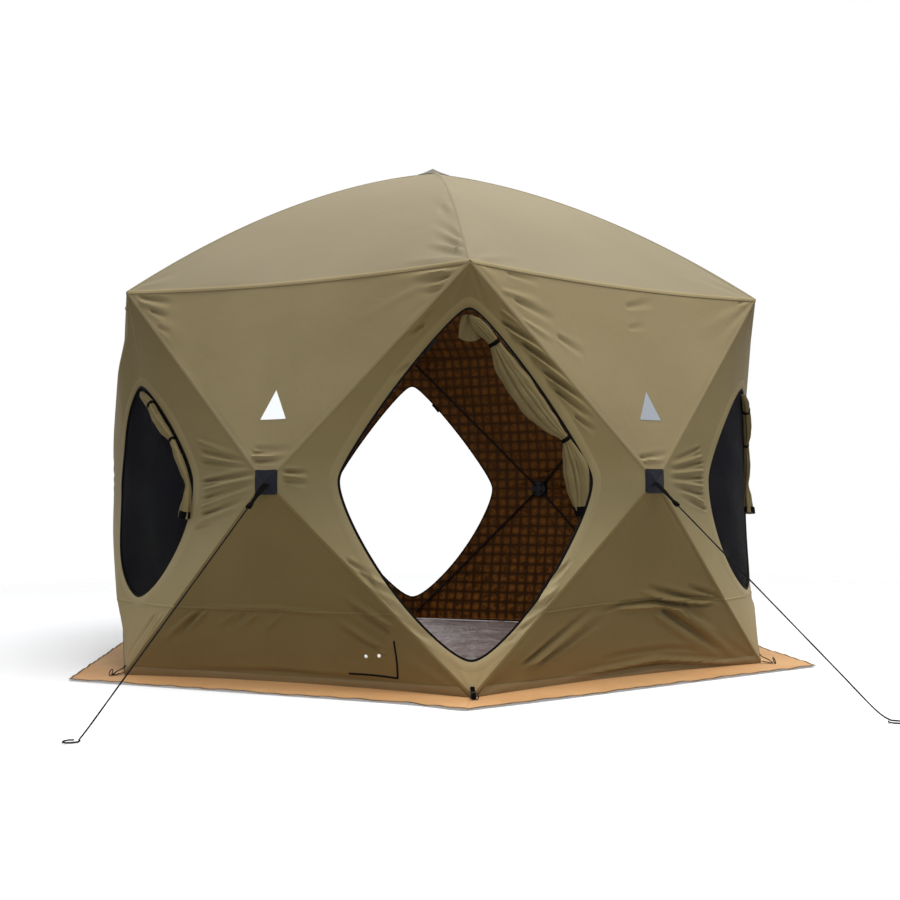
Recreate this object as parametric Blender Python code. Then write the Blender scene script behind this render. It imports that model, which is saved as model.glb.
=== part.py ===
"""Six-sided pop-up hub tent with two doors, four windows and a snow skirt.

Metres, +Z up, origin on the ground under the roof hub. The front door's corner faces -Y.
Every wall and every corner panel is modelled facing -Y, in a frame whose X runs to the
right and whose -Y runs outward, and is then turned about Z to its place.
"""

import math

import bmesh
import bpy
from mathutils import Matrix, Vector
from mathutils.bvhtree import BVHTree

# The shelter as a whole
SIDES = 6
CORNER_RADIUS = 1.50
CORNER_HEIGHT = 1.53
APEX_HEIGHT = 2.237
RAFTER_STRAIGHTNESS = 0.57
EAVE_SAG = 0.022
HUB_HEIGHT = 0.755
HUB_PUSH_OUT = 0.150
CORNER_SAG = 0.07
FABRIC = 0.006
SEAM_GAP = 0.0004
SEAT_GAP = 0.0003
MERGE_DISTANCE = 0.00002
PANEL_COLUMNS = 6
ROOF_ROWS = (0, 0.03, 0.12, 0.27, 0.45, 0.64, 0.82, 1)

# Ground sheet and skirt
SKIRT_WIDTH = 0.223
SKIRT_THICKNESS = 0.003
SKIRT_TUCK = 0.030
FLOOR_THICKNESS = 0.004

# Openings in the corner panels
DOOR_WIDTH = 0.915
DOOR_SILL_HEIGHT = 0.128
DOOR_TOP_HEIGHT = 1.362
DOOR_ROUNDING = 0.065
WINDOW_WIDTH = 0.720
WINDOW_SILL_HEIGHT = 0.312
WINDOW_TOP_HEIGHT = 1.148
WINDOW_ROUNDING = 0.15
MESH_THICKNESS = 0.002
OUTLINE_STEPS = 6
TIP_STEPS = 2

# Rolled-up covers, sewn along the upper right edge of each opening
DOOR_ROLL_RADIUS = 0.044
WINDOW_ROLL_RADIUS = 0.028
ROLL_OVERLAP = 0.012
ROLL_STEPS = 8
ROLL_TAPER = 0.45
ROLL_TAIL_SWELL = 0.15
DOOR_ROLL_BESIDE = -1
DOOR_ROLL_PROUD = 0.2
WINDOW_ROLL_BESIDE = 0.4
WINDOW_ROLL_PROUD = 0.75
ROLL_START = math.radians(80)
DOOR_ROLL_END = math.radians(-8)
WINDOW_ROLL_END = math.radians(-6)

# Glass-fibre rods and their fittings
ROD_RADIUS = 0.0055
ROD_SIDES = 8
FERRULE_RADIUS = 0.0068
FERRULE_LENGTH = 0.040
BALL_RADIUS = 0.008
EYE_RADIUS = 0.0095
EYE_REACH = 0.012
EYE_SIDES = 12
PIN_RADIUS = 0.0025
PIN_CLEARANCE = 0.0003
PIN_SIDES = 8
SLOT_CLEARANCE = 0.0003
SOCKET_CLEARANCE = 0.0003
SOCKET_WALL = 0.0025
SOCKET_GRIP = 0.008
SOCKET_SIDES = 8
BALL_SETBACK = 0.062
BALL_CLEARANCE = 0.003
SNAP_CLEARANCE = 0.0015
ROOF_ROD_STEPS = 12

# Wall hubs
HUB_SIDES = 24
HUB_RADIUS = 0.042
HUB_PIN_CIRCLE = 0.030
HUB_FACE_PLATE = 0.003
HUB_BACK = 0.010
SLOT_OVERCUT = 0.010
PIN_SEAT = 0.006
PATCH_WIDTH = 0.100
PATCH_THICKNESS = 0.0015
PATCH_MARGIN = 0.002

# Roof hub
ROOF_HUB_RADIUS = 0.056
ROOF_PIN_CIRCLE = 0.043
ROOF_HUB_HALF = 0.013
ROOF_CAP_RADIUS = 0.028
ROOF_CAP_RISE = 0.010
ROOF_CAP_SEAT = 0.002
ROOF_SLOT_OVERCUT = 0.005
ROOF_BALL_SETBACK = 0.055
ROOF_BALL_DROP = 0.020

# Pull straps and guy ropes
STRAP_WIDTH = 0.025
STRAP_THICKNESS = 0.003
STRAP_LENGTH = 0.075
GUY_SPREAD = 0.981
GUY_DIAMETER = 0.005
GUY_POINTS = 48
GUY_LOOP_RADIUS = 0.024
GUY_LOOP_SETBACK = 0.0384
GUY_LOOP_STEP = 20

# Door zip sliders
ZIP_MARGIN = 0.012
SLIDER_WIDTH = 0.012
SLIDER_LENGTH = 0.018
SLIDER_THICKNESS = 0.006
SLIDER_CLEARANCE = 0.0003
PULL_LENGTH = 0.045
PULL_WIDTH = 0.009
PULL_THICKNESS = 0.002
SLIDER_START = math.radians(105)
SLIDER_END = math.radians(160)

# Sizes worked out from the ones above
TURN = 2 * math.pi / SIDES
WALL_HALF_WIDTH = CORNER_RADIUS * math.sin(TURN / 2)
WALL_DISTANCE = CORNER_RADIUS * math.cos(TURN / 2)
HUB_DISTANCE = WALL_DISTANCE + HUB_PUSH_OUT
FOOT_HEIGHT = SKIRT_THICKNESS + SEAT_GAP
CENTRE = Vector((0, 0, HUB_HEIGHT))
INNER_SCALE = 1 - FABRIC / HUB_DISTANCE
SKIRT_RADIUS = CORNER_RADIUS + SKIRT_WIDTH
SOCKET_BORE = BALL_RADIUS + SOCKET_CLEARANCE
SOCKET_RADIUS = SOCKET_BORE + SOCKET_WALL
SLOT_WIDTH = 2 * (FERRULE_RADIUS + SLOT_CLEARANCE)
HUB_FRONT = EYE_RADIUS + PIN_CLEARANCE + HUB_FACE_PLATE
PATCH_SHARE = PATCH_WIDTH / 2 / WALL_HALF_WIDTH
PATCH_DISTANCE = WALL_DISTANCE + HUB_PUSH_OUT * (1 - PATCH_SHARE)
PATCH_INSIDE = PATCH_DISTANCE * INNER_SCALE
GUY_REACH = PATCH_DISTANCE + GUY_SPREAD
HUB_AXLE_DISTANCE = PATCH_INSIDE - SEAT_GAP - HUB_FRONT
BALL_DISTANCE = WALL_DISTANCE - FABRIC - SOCKET_RADIUS - BALL_CLEARANCE
HUB_THROW = HUB_AXLE_DISTANCE - BALL_DISTANCE

WALLS = {
    "front_right": 0.5, "right": 1.5, "back_right": 2.5,
    "back_left": 3.5, "left": 4.5, "front_left": 5.5,
}
CORNERS = {
    "front": 0, "right_front": 1, "right_back": 2,
    "back": 3, "left_back": 4, "left_front": 5,
}
DOOR_CORNERS = ("front", "back")
GUYED_WALLS = ("front_left", "front_right")

KHAKI = (0.27, 0.215, 0.125, 1)
ROOF_KHAKI = (0.36, 0.31, 0.20, 1)
BLACK_PLASTIC = (0.012, 0.012, 0.013, 1)
BLACK_MESH = (0.010, 0.011, 0.016, 1)
BLACK_ROD = (0.020, 0.020, 0.022, 1)
TAN = (0.52, 0.30, 0.13, 1)
FLOOR_GREY = (0.16, 0.13, 0.15, 1)
ROPE_BLACK = (0.015, 0.015, 0.015, 1)
ZINC = (0.35, 0.35, 0.36, 1)


def clear_scene():
    for item in list(bpy.data.objects):
        bpy.data.objects.remove(item)


def new_collection(name):
    collection = bpy.data.collections.new(name)
    bpy.context.scene.collection.children.link(collection)
    return collection


def make_material(name, colour, roughness, metallic=0.0):
    material = bpy.data.materials.new(name)
    material.use_nodes = True
    shader = material.node_tree.nodes["Principled BSDF"]
    shader.inputs["Base Color"].default_value = colour
    shader.inputs["Roughness"].default_value = roughness
    shader.inputs["Metallic"].default_value = metallic
    return material


def add_object(name, mesh, collection, material=None, matrix=None):
    item = bpy.data.objects.new(name, mesh)
    if matrix is not None:
        item.matrix_world = matrix
    if material is not None:
        mesh.materials.clear()
        mesh.materials.append(material)
    collection.objects.link(item)
    return item


def mesh_of(name, bm):
    """Turn a bmesh into a mesh whose faces point outward and whose round faces are smooth."""
    bmesh.ops.recalc_face_normals(bm, faces=bm.faces)
    mesh = bpy.data.meshes.new(name)
    bm.to_mesh(mesh)
    bm.free()
    mesh.shade_smooth()
    mesh.set_sharp_from_angle(angle=math.radians(30))
    return mesh


def turned(position):
    """The frame of a wall or corner, counted in sixths of a turn from the front corner."""
    return Matrix.Rotation(position * TURN, 4, "Z")


def frame_from(origin, z_axis, x_axis):
    z_axis = z_axis.normalized()
    x_axis = (x_axis - z_axis * x_axis.dot(z_axis)).normalized()
    y_axis = z_axis.cross(x_axis)
    rotation = Matrix((x_axis, y_axis, z_axis)).transposed().to_4x4()
    return Matrix.Translation(origin) @ rotation


def cylinder(bm, radius, start, end, sides, end_radius=None):
    """Add a closed cylinder or cone between two points to a bmesh."""
    run = end - start
    side = Vector((1, 0, 0)) if abs(run.normalized().x) < 0.9 else Vector((0, 0, 1))
    matrix = frame_from((start + end) / 2, run, side)
    bmesh.ops.create_cone(
        bm,
        cap_ends=True,
        segments=sides,
        radius1=radius,
        radius2=radius if end_radius is None else end_radius,
        depth=run.length,
        matrix=matrix,
    )


def around(radius, sides):
    """The radius of a cutter with flat sides that clears a circle of the given radius."""
    return radius / math.cos(math.pi / sides)


def box(bm, size, matrix):
    bmesh.ops.create_cube(bm, size=1, matrix=matrix @ Matrix.Diagonal((*size, 1)))


class Workshop:
    """Joins and cuts closed meshes with Boolean modifiers on objects in the cutter collection."""

    def __init__(self, collection):
        self.collection = collection

    def guide(self, name, bm, matrix=None):
        item = add_object(name, mesh_of(name, bm), self.collection, matrix=matrix)
        item.hide_render = True
        item.display_type = "WIRE"
        return item

    def combine(self, name, base, joined=(), cut=()):
        """Return the mesh of the base guide with the other guides joined on and cut out."""
        for operation, tools in (("UNION", joined), ("DIFFERENCE", cut)):
            for tool in tools:
                modifier = base.modifiers.new(tool.name, "BOOLEAN")
                modifier.operation = operation
                modifier.solver = "EXACT"
                modifier.object = tool
        bpy.context.view_layer.update()
        depsgraph = bpy.context.evaluated_depsgraph_get()
        mesh = bpy.data.meshes.new_from_object(base.evaluated_get(depsgraph))
        mesh.name = name
        mesh.shade_smooth()
        mesh.set_sharp_from_angle(angle=math.radians(30))
        return mesh


def grid(bm, rows):
    """Add quads between rows of points, and return every vertex made."""
    made = [[bm.verts.new(point) for point in row] for row in rows]
    for lower, upper in zip(made, made[1:]):
        for i in range(len(lower) - 1):
            bm.faces.new((lower[i], lower[i + 1], upper[i + 1], upper[i]))
    return [vertex for row in made for vertex in row]


def thicken(bm, outside=1.0, inside=INNER_SCALE):
    """Give an open sheet its thickness towards the middle of the tent, so that seams match."""
    bmesh.ops.remove_doubles(bm, verts=bm.verts, dist=MERGE_DISTANCE)
    for vertex in bm.verts:
        vertex.co = CENTRE + (vertex.co - CENTRE) * outside
    new = bmesh.ops.extrude_face_region(bm, geom=bm.faces[:], use_keep_orig=True)
    for vertex in (item for item in new["geom"] if isinstance(item, bmesh.types.BMVert)):
        vertex.co = CENTRE + (vertex.co - CENTRE) * (inside / outside)


def rafter(share, radius_in, height_in, radius_out, height_out):
    """A point on a bowed roof line, from the hub (share 0) to the corner (share 1)."""
    fall = RAFTER_STRAIGHTNESS * share + (1 - RAFTER_STRAIGHTNESS) * share * share
    radius = radius_in + (radius_out - radius_in) * share
    height = height_in + (height_out - height_in) * fall
    return Vector((0, -radius, height))


def roof_point(share, across):
    """A point on a roof gore facing -Y: share 0 at the apex and 1 at the eave, across -1 to 1."""
    ridge = rafter(share, 0, APEX_HEIGHT, CORNER_RADIUS, CORNER_HEIGHT)
    half = -ridge.y * math.sin(TURN / 2)
    sag = EAVE_SAG * share**3 * (1 - across * across)
    return Vector((half * across, ridge.y * math.cos(TURN / 2), ridge.z - sag + SEAM_GAP))


def panel_columns():
    """Places across a panel, from -1 at its left edge to 1 at its right edge."""
    return [-1 + 2 * i / PANEL_COLUMNS for i in range(PANEL_COLUMNS + 1)]


def build_roof_cover(collection, material):
    bm = bmesh.new()
    for side in range(SIDES):
        turn = turned(side + 0.5)
        grid(bm, [[turn @ roof_point(share, u) for u in panel_columns()] for share in ROOF_ROWS])
    thicken(bm)
    add_object("roof_cover", mesh_of("roof_cover", bm), collection, material)


def wall_point(level, across):
    """A point on a wall facing -Y: level -1 at the ground, 0 at the hub and 1 at the eave."""
    share = abs(level)
    half = WALL_HALF_WIDTH * share - SEAM_GAP / 2
    distance = WALL_DISTANCE + HUB_PUSH_OUT * (1 - share)
    if level > 0:
        sag = EAVE_SAG * share * (1 - across * across)
        height = HUB_HEIGHT + (CORNER_HEIGHT - HUB_HEIGHT) * share - sag
    else:
        height = HUB_HEIGHT - (HUB_HEIGHT - FOOT_HEIGHT) * share
    return Vector((half * across, -distance, height))


def strap_axis():
    """Where the pull strap starts on the hub patch, and which way the taut rope draws it."""
    start = Vector((0, -PATCH_DISTANCE, HUB_HEIGHT))
    run = Vector((0, -GUY_REACH, GUY_DIAMETER)) - start
    return start, run.normalized()


def build_wall_mesh(workshop):
    """One wall: the upper and lower triangles, joined at the hub by the sewn square patch."""
    bm = bmesh.new()
    levels = [-1, -PATCH_SHARE, PATCH_SHARE, 1]
    grid(bm, [[wall_point(level, u) for u in panel_columns()] for level in levels])
    thicken(bm)
    sheet = workshop.guide("wall_sheet", bm)

    bm = bmesh.new()
    side = PATCH_WIDTH - 2 * PATCH_MARGIN
    place = Matrix.Translation((0, -PATCH_DISTANCE, HUB_HEIGHT))
    box(bm, (side, 2 * PATCH_THICKNESS, side), place)
    patch = workshop.guide("hub_patch", bm)

    bm = bmesh.new()
    start, run = strap_axis()
    middle = start + run * (STRAP_LENGTH / 2)
    box(bm, (STRAP_WIDTH, STRAP_THICKNESS, STRAP_LENGTH), frame_from(middle, run, Vector((1, 0, 0))))
    strap = workshop.guide("pull_strap", bm)
    return workshop.combine("wall_panel", sheet, joined=(patch, strap))


def corner_point(x, level):
    """A point on a corner panel facing -Y.

    x runs from -1 to 1 between the two hubs and level from -1 to 1 between the two corners.
    """
    share = abs(level)
    end_height = CORNER_HEIGHT if level > 0 else FOOT_HEIGHT
    chord = CORNER_RADIUS * share + HUB_DISTANCE * math.cos(TURN / 2) * (1 - share)
    ridge = CORNER_RADIUS - CORNER_SAG * (1 - share * share)
    along = x / (1 - share) if share < 1 else 0
    distance = chord + (ridge - chord) * (1 - along * along)
    height = HUB_HEIGHT + (end_height - HUB_HEIGHT) * share
    return Vector((x * HUB_DISTANCE * math.sin(TURN / 2), -distance, height))


def diamond_outline(steps, tip_steps):
    """The corner panel's edge, with its side tips cut off at the hub patches."""
    cut = 1 - PATCH_SHARE
    low = PATCH_SHARE
    tips = [Vector((cut, -low)), Vector((cut, low)), Vector((0, 1)), Vector((-cut, low))]
    tips += [Vector((-cut, -low)), Vector((0, -1))]
    points = []
    for i, tip in enumerate(tips):
        after = tips[(i + 1) % len(tips)]
        count = tip_steps if tip.x == after.x else steps
        points += [tip.lerp(after, j / count) for j in range(count)]
    return points


def opening_reach(angle, width, sill, top, rounding):
    """How far an opening, a diamond with rounded tips, reaches in one direction."""
    half = width / 2 / (HUB_DISTANCE * math.sin(TURN / 2))
    if math.sin(angle) > 0:
        tall = (top - HUB_HEIGHT) / (CORNER_HEIGHT - HUB_HEIGHT)
    else:
        tall = (HUB_HEIGHT - sill) / (HUB_HEIGHT - FOOT_HEIGHT)
    a = (math.cos(angle) / half) ** 2
    b = (math.sin(angle) / tall) ** 2
    k = rounding + math.sqrt(1 + rounding**2)
    core = k * k * (k * k - 4 * rounding**2)
    root = math.sqrt((k * k * (a + b)) ** 2 - (a - b) ** 2 * core)
    return math.sqrt(core / (k * k * (a + b) + root))


def door_reach(angle):
    return opening_reach(angle, DOOR_WIDTH, DOOR_SILL_HEIGHT, DOOR_TOP_HEIGHT, DOOR_ROUNDING)


def window_reach(angle):
    return opening_reach(angle, WINDOW_WIDTH, WINDOW_SILL_HEIGHT, WINDOW_TOP_HEIGHT, WINDOW_ROUNDING)


def edge_point(reach, angle, beyond=0.0):
    """A panel point on an opening's edge, or beyond it by a length in metres."""
    base = reach(angle)
    inner = corner_point(base * math.cos(angle), base * math.sin(angle))
    far = base + 0.1
    outer = corner_point(far * math.cos(angle), far * math.sin(angle))
    return inner + (outer - inner).normalized() * beyond


def roll_guide(workshop, reach, radius, beside, proud, last):
    """A rolled cover along the opening's edge, thinner where it is sewn at the top.

    Its middle lies beside the edge and proud of the panel by shares of its own radius.
    """
    curve = bpy.data.curves.new("cover_roll", "CURVE")
    curve.dimensions = "3D"
    curve.bevel_depth = radius
    curve.bevel_resolution = 1
    curve.use_fill_caps = True
    spline = curve.splines.new("POLY")
    spline.points.add(ROLL_STEPS)
    for i, point in enumerate(spline.points):
        share = i / ROLL_STEPS
        angle = ROLL_START + (last - ROLL_START) * share
        arch = math.sin(math.pi * min(1, ROLL_TAIL_SWELL + share))
        swell = 1 - ROLL_TAPER + ROLL_TAPER * arch + ROLL_TAIL_SWELL * share
        place = edge_point(reach, angle, ROLL_OVERLAP + radius * swell * beside)
        place.y -= radius * swell * proud
        point.co = (*place, 1)
        point.radius = swell
    holder = add_object("cover_roll_path", curve, workshop.collection)
    bpy.context.view_layer.update()
    depsgraph = bpy.context.evaluated_depsgraph_get()
    bm = bmesh.new()
    mesh = bpy.data.meshes.new_from_object(holder.evaluated_get(depsgraph))
    bm.from_mesh(mesh)
    bmesh.ops.remove_doubles(bm, verts=bm.verts, dist=MERGE_DISTANCE)
    bpy.data.objects.remove(holder)
    bpy.data.meshes.remove(mesh)
    return workshop.guide("cover_roll", bm)


def wall_rod_line(upper):
    """Pin and ball of one wall rod, and the run in the wall's plane between them.

    The rod goes to the right-hand corner, in the frame of a wall facing -Y.
    """
    corner = Vector((WALL_HALF_WIDTH, 0, CORNER_HEIGHT if upper else FOOT_HEIGHT))
    hub = Vector((0, 0, HUB_HEIGHT))
    run = (corner - hub).normalized()
    ball = corner - run * BALL_SETBACK + Vector((0, -BALL_DISTANCE, 0))
    pin = hub + run * HUB_PIN_CIRCLE + Vector((0, -HUB_AXLE_DISTANCE, 0))
    return pin, ball, run


def snap_travel(upper):
    """How far a rod's ball runs on into its socket while the wall snaps through."""
    pin, ball, run = wall_rod_line(upper)
    return (ball - pin).length - (ball - pin).dot(run)


def roof_rod_line():
    """Pin and ball of a roof rod, in the frame of a corner facing -Y."""
    cap_top = roof_cap_top()
    pin = Vector((0, -ROOF_PIN_CIRCLE, cap_top - ROOF_CAP_RISE - ROOF_HUB_HALF))
    ball = Vector((0, -(CORNER_RADIUS - ROOF_BALL_SETBACK), CORNER_HEIGHT - ROOF_BALL_DROP))
    return pin, ball


def roof_cap_top():
    """The highest that the roof hub can stand with its rim clear of the cover."""
    rim = ROOF_HUB_RADIUS / math.cos(TURN / 2) / CORNER_RADIUS
    over_rim = rafter(rim, 0, APEX_HEIGHT, CORNER_RADIUS, CORNER_HEIGHT)
    inside = CENTRE + (over_rim - CENTRE) * INNER_SCALE
    under_apex = CENTRE.z + (APEX_HEIGHT - CENTRE.z) * INNER_SCALE
    return min(inside.z - SEAT_GAP + ROOF_CAP_RISE, under_apex - SEAT_GAP)


def roof_rod_points():
    pin, ball = roof_rod_line()
    shares = [i / ROOF_ROD_STEPS for i in range(ROOF_ROD_STEPS + 1)]
    return [rafter(share, -pin.y, pin.z, -ball.y, ball.z) for share in shares]


def socket_block(workshop, name, upper):
    """The moulded corner fitting: a stem into the panel and a blind socket for each rod's ball."""
    depth = SOCKET_GRIP + snap_travel(upper) + BALL_RADIUS + SNAP_CLEARANCE
    lines = []
    for side in (1, -1):
        ball, run = wall_rod_line(upper)[1:]
        turn = turned(side * -0.5) if side > 0 else turned(0.5)
        mirror = Matrix.Diagonal((side, 1, 1, 1))
        lines.append((turn @ mirror @ ball, (turn @ mirror).to_3x3() @ run, depth))
    if upper:
        before, ball = roof_rod_points()[-2:]
        lines.append((ball, (ball - before).normalized(), SOCKET_GRIP + BALL_RADIUS + SNAP_CLEARANCE))

    barrels, bores = [], []
    for ball, run, length in lines:
        mouth = ball - run * SOCKET_GRIP
        bm = bmesh.new()
        outside = around(SOCKET_RADIUS, SOCKET_SIDES)
        cylinder(bm, outside, mouth, mouth + run * (length + SOCKET_WALL), SOCKET_SIDES)
        barrels.append(workshop.guide(name + "_barrel", bm))
        bm = bmesh.new()
        inside = around(SOCKET_BORE, SOCKET_SIDES)
        cylinder(bm, inside, mouth - run * SOCKET_GRIP, mouth + run * length, SOCKET_SIDES)
        bores.append(workshop.guide(name + "_bore", bm))

    ends = [ball + run * (length - SOCKET_GRIP) for ball, run, length in lines[:2]]
    middle = (ends[0] + ends[1]) / 2
    level = (middle.z - HUB_HEIGHT) / ((CORNER_HEIGHT if upper else FOOT_HEIGHT) - HUB_HEIGHT)
    surface = corner_point(0, level if upper else -level)
    above = corner_point(0, (level + 0.01) * (1 if upper else -1))
    slope = (above - surface).normalized()
    inward = CENTRE - surface
    inward = (inward - slope * inward.dot(slope)).normalized()
    front = surface + inward * (FABRIC / 3)
    reach = (middle - front).dot(inward) + SOCKET_BORE / 2
    if upper:
        closed_end = lines[2][0] + lines[2][1] * BALL_RADIUS
        bm = bmesh.new()
        cylinder(bm, SOCKET_BORE, closed_end, middle, SOCKET_SIDES)
        barrels.append(workshop.guide(name + "_neck", bm))
    bm = bmesh.new()
    width = 2 * SOCKET_BORE
    stem_frame = frame_from(front + inward * (reach / 2), inward, Vector((1, 0, 0)))
    box(bm, (width, 2 * SOCKET_BORE, reach), stem_frame)
    return [workshop.guide(name + "_stem", bm)] + barrels, bores


def build_corner_mesh(workshop, name, reach, roll):
    """One corner panel with its opening, its rolled cover and its two corner fittings."""
    bm = bmesh.new()
    outline = diamond_outline(OUTLINE_STEPS, TIP_STEPS)
    shrink = 1 - SEAM_GAP / WALL_HALF_WIDTH
    rows = []
    for share in (0, 0.5, 1):
        row = []
        for point in outline + outline[:1]:
            angle = math.atan2(point.y, point.x)
            inner = Vector((math.cos(angle), math.sin(angle))) * reach(angle)
            place = inner.lerp(point * shrink, share)
            row.append(corner_point(place.x, place.y))
        rows.append(row)
    grid(bm, rows)
    thicken(bm)
    panel = workshop.guide(name + "_sheet", bm)
    top, top_bores = socket_block(workshop, name + "_top", True)
    foot, foot_bores = socket_block(workshop, name + "_foot", False)
    return workshop.combine(name, panel, joined=[roll] + top + foot, cut=top_bores + foot_bores)


def opening_angles():
    """The directions of a corner panel's points, so that what fills its opening fits it."""
    return [math.atan2(point.y, point.x) for point in diamond_outline(OUTLINE_STEPS, TIP_STEPS)]


def build_window_mesh():
    """The insect mesh that fills a window, set in the thickness of its panel."""
    bm = bmesh.new()
    shrink = 1 - 2 * SEAM_GAP / WINDOW_WIDTH
    angles = opening_angles()
    rows = []
    for share in (0, 0.45, 1):
        row = []
        for angle in angles + angles[:1]:
            reach = window_reach(angle) * share * shrink
            row.append(corner_point(reach * math.cos(angle), reach * math.sin(angle)))
        rows.append(row)
    grid(bm, rows)
    middle = (1 + INNER_SCALE) / 2
    half = MESH_THICKNESS / 2 / HUB_DISTANCE
    thicken(bm, middle + half, middle - half)
    return mesh_of("window_mesh", bm)


def build_rod_mesh(workshop, name, length):
    """A wall rod along +Z from its pin hole at the origin to its ball."""
    bm = bmesh.new()
    cylinder(bm, ROD_RADIUS, Vector((0, 0, EYE_REACH)), Vector((0, 0, length)), ROD_SIDES)
    rod = workshop.guide(name + "_shaft", bm)
    return workshop.combine(name, rod, joined=rod_ends(workshop, name, length), cut=[pin_hole(workshop)])


def rod_ends(workshop, name, length):
    """The ferrule with its eye, and the ball, of a rod that starts along +Z."""
    bm = bmesh.new()
    inside_eye = Vector((0, 0, EYE_REACH / 2))
    cylinder(bm, FERRULE_RADIUS, inside_eye, Vector((0, 0, FERRULE_LENGTH)), ROD_SIDES)
    ferrule = workshop.guide(name + "_ferrule", bm)
    bm = bmesh.new()
    half = Vector((FERRULE_RADIUS, 0, 0))
    cylinder(bm, EYE_RADIUS, -half, half, EYE_SIDES)
    eye = workshop.guide(name + "_eye", bm)
    bm = bmesh.new()
    place = Matrix.Translation((0, 0, length))
    bmesh.ops.create_uvsphere(bm, u_segments=ROD_SIDES, v_segments=5, radius=BALL_RADIUS, matrix=place)
    ball = workshop.guide(name + "_ball", bm)
    return [ferrule, eye, ball]


def pin_hole(workshop):
    bm = bmesh.new()
    reach = Vector((EYE_RADIUS * 2, 0, 0))
    cylinder(bm, around(PIN_RADIUS + PIN_CLEARANCE, PIN_SIDES), -reach, reach, PIN_SIDES)
    return workshop.guide("pin_hole", bm)


def build_wall_rods(workshop, collection, material):
    for upper in (True, False):
        pin, ball, run = wall_rod_line(upper)
        height = "upper" if upper else "lower"
        mesh = build_rod_mesh(workshop, "wall_rod_" + height, (ball - pin).length)
        outward = Vector((0, -1, 0))
        axis = outward.cross(run)
        place = frame_from(pin, ball - pin, axis)
        for wall, position in WALLS.items():
            for side, mirror in (("right", 1), ("left", -1)):
                matrix = turned(position) @ place
                if mirror < 0:
                    flip = Matrix.Diagonal((-1, 1, 1, 1))
                    matrix = turned(position) @ flip @ place @ flip
                name = f"rod_{wall}_{height}_{side}"
                add_object(name, mesh, collection, material, matrix)


def hub_body(workshop, name, front, back, radius, circle, directions, slot_front):
    """A hub disc along +Z with a slot and a cross pin for each rod, in the given directions."""
    bm = bmesh.new()
    cylinder(bm, radius, Vector((0, 0, -back)), Vector((0, 0, front)), HUB_SIDES)
    disc = workshop.guide(name + "_disc", bm)
    slots, pins = [], []
    for i, run in enumerate(directions):
        across = Vector((0, 0, 1)).cross(run)
        inner = circle - EYE_RADIUS - PIN_CLEARANCE
        length = radius + SLOT_OVERCUT - inner
        height = slot_front + back + SLOT_OVERCUT
        middle = run * (inner + length / 2) + Vector((0, 0, slot_front - height / 2))
        bm = bmesh.new()
        box(bm, (SLOT_WIDTH, height, length), frame_from(middle, run, across))
        slots.append(workshop.guide(f"{name}_slot_{i}", bm))
        bm = bmesh.new()
        half = across * (SLOT_WIDTH / 2 + PIN_SEAT)
        cylinder(bm, PIN_RADIUS, run * circle - half, run * circle + half, PIN_SIDES)
        pins.append(workshop.guide(f"{name}_pin_{i}", bm))
    return disc, slots, pins


def cut_then_join(workshop, name, base, cuts, joins):
    mesh = workshop.combine(name + "_cut", base, cut=cuts)
    slotted = add_object(name + "_slotted", mesh, workshop.collection)
    slotted.hide_render = True
    slotted.display_type = "WIRE"
    return workshop.combine(name, slotted, joined=joins)


def build_wall_hubs(workshop, collection, material):
    """Hubs lie with their local +Z outward and their local Y up."""
    directions = []
    for upper in (True, False):
        run = wall_rod_line(upper)[2]
        directions.append(Vector((run.x, run.z, 0)))
        directions.append(Vector((-run.x, run.z, 0)))
    slot_front = HUB_FRONT - HUB_FACE_PLATE
    disc, slots, pins = hub_body(
        workshop, "wall_hub", HUB_FRONT, HUB_BACK, HUB_RADIUS, HUB_PIN_CIRCLE, directions, slot_front
    )
    mesh = cut_then_join(workshop, "wall_hub", disc, slots, pins)
    place = Matrix.Translation((0, -HUB_AXLE_DISTANCE, HUB_HEIGHT)) @ Matrix.Rotation(math.pi / 2, 4, "X")
    for wall, position in WALLS.items():
        add_object("hub_" + wall, mesh, collection, material, turned(position) @ place)


def build_roof_hub(workshop, collection, material):
    directions = [(turned(i) @ Vector((0, -1, 0))).normalized() for i in range(SIDES)]
    half = ROOF_HUB_HALF
    disc, slots, pins = hub_body(
        workshop, "roof_hub", half, half, ROOF_HUB_RADIUS, ROOF_PIN_CIRCLE, directions, half + ROOF_SLOT_OVERCUT
    )
    bm = bmesh.new()
    sunk = Vector((0, 0, half - ROOF_CAP_SEAT))
    top = Vector((0, 0, half + ROOF_CAP_RISE))
    cylinder(bm, ROOF_CAP_RADIUS, sunk, top, HUB_SIDES, ROOF_CAP_RADIUS / 3)
    cap = workshop.guide("roof_hub_cap", bm)
    mesh = cut_then_join(workshop, "roof_hub", disc, slots, pins + [cap])
    pin = roof_rod_line()[0]
    add_object("roof_hub", mesh, collection, material, Matrix.Translation((0, 0, pin.z)))


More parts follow.
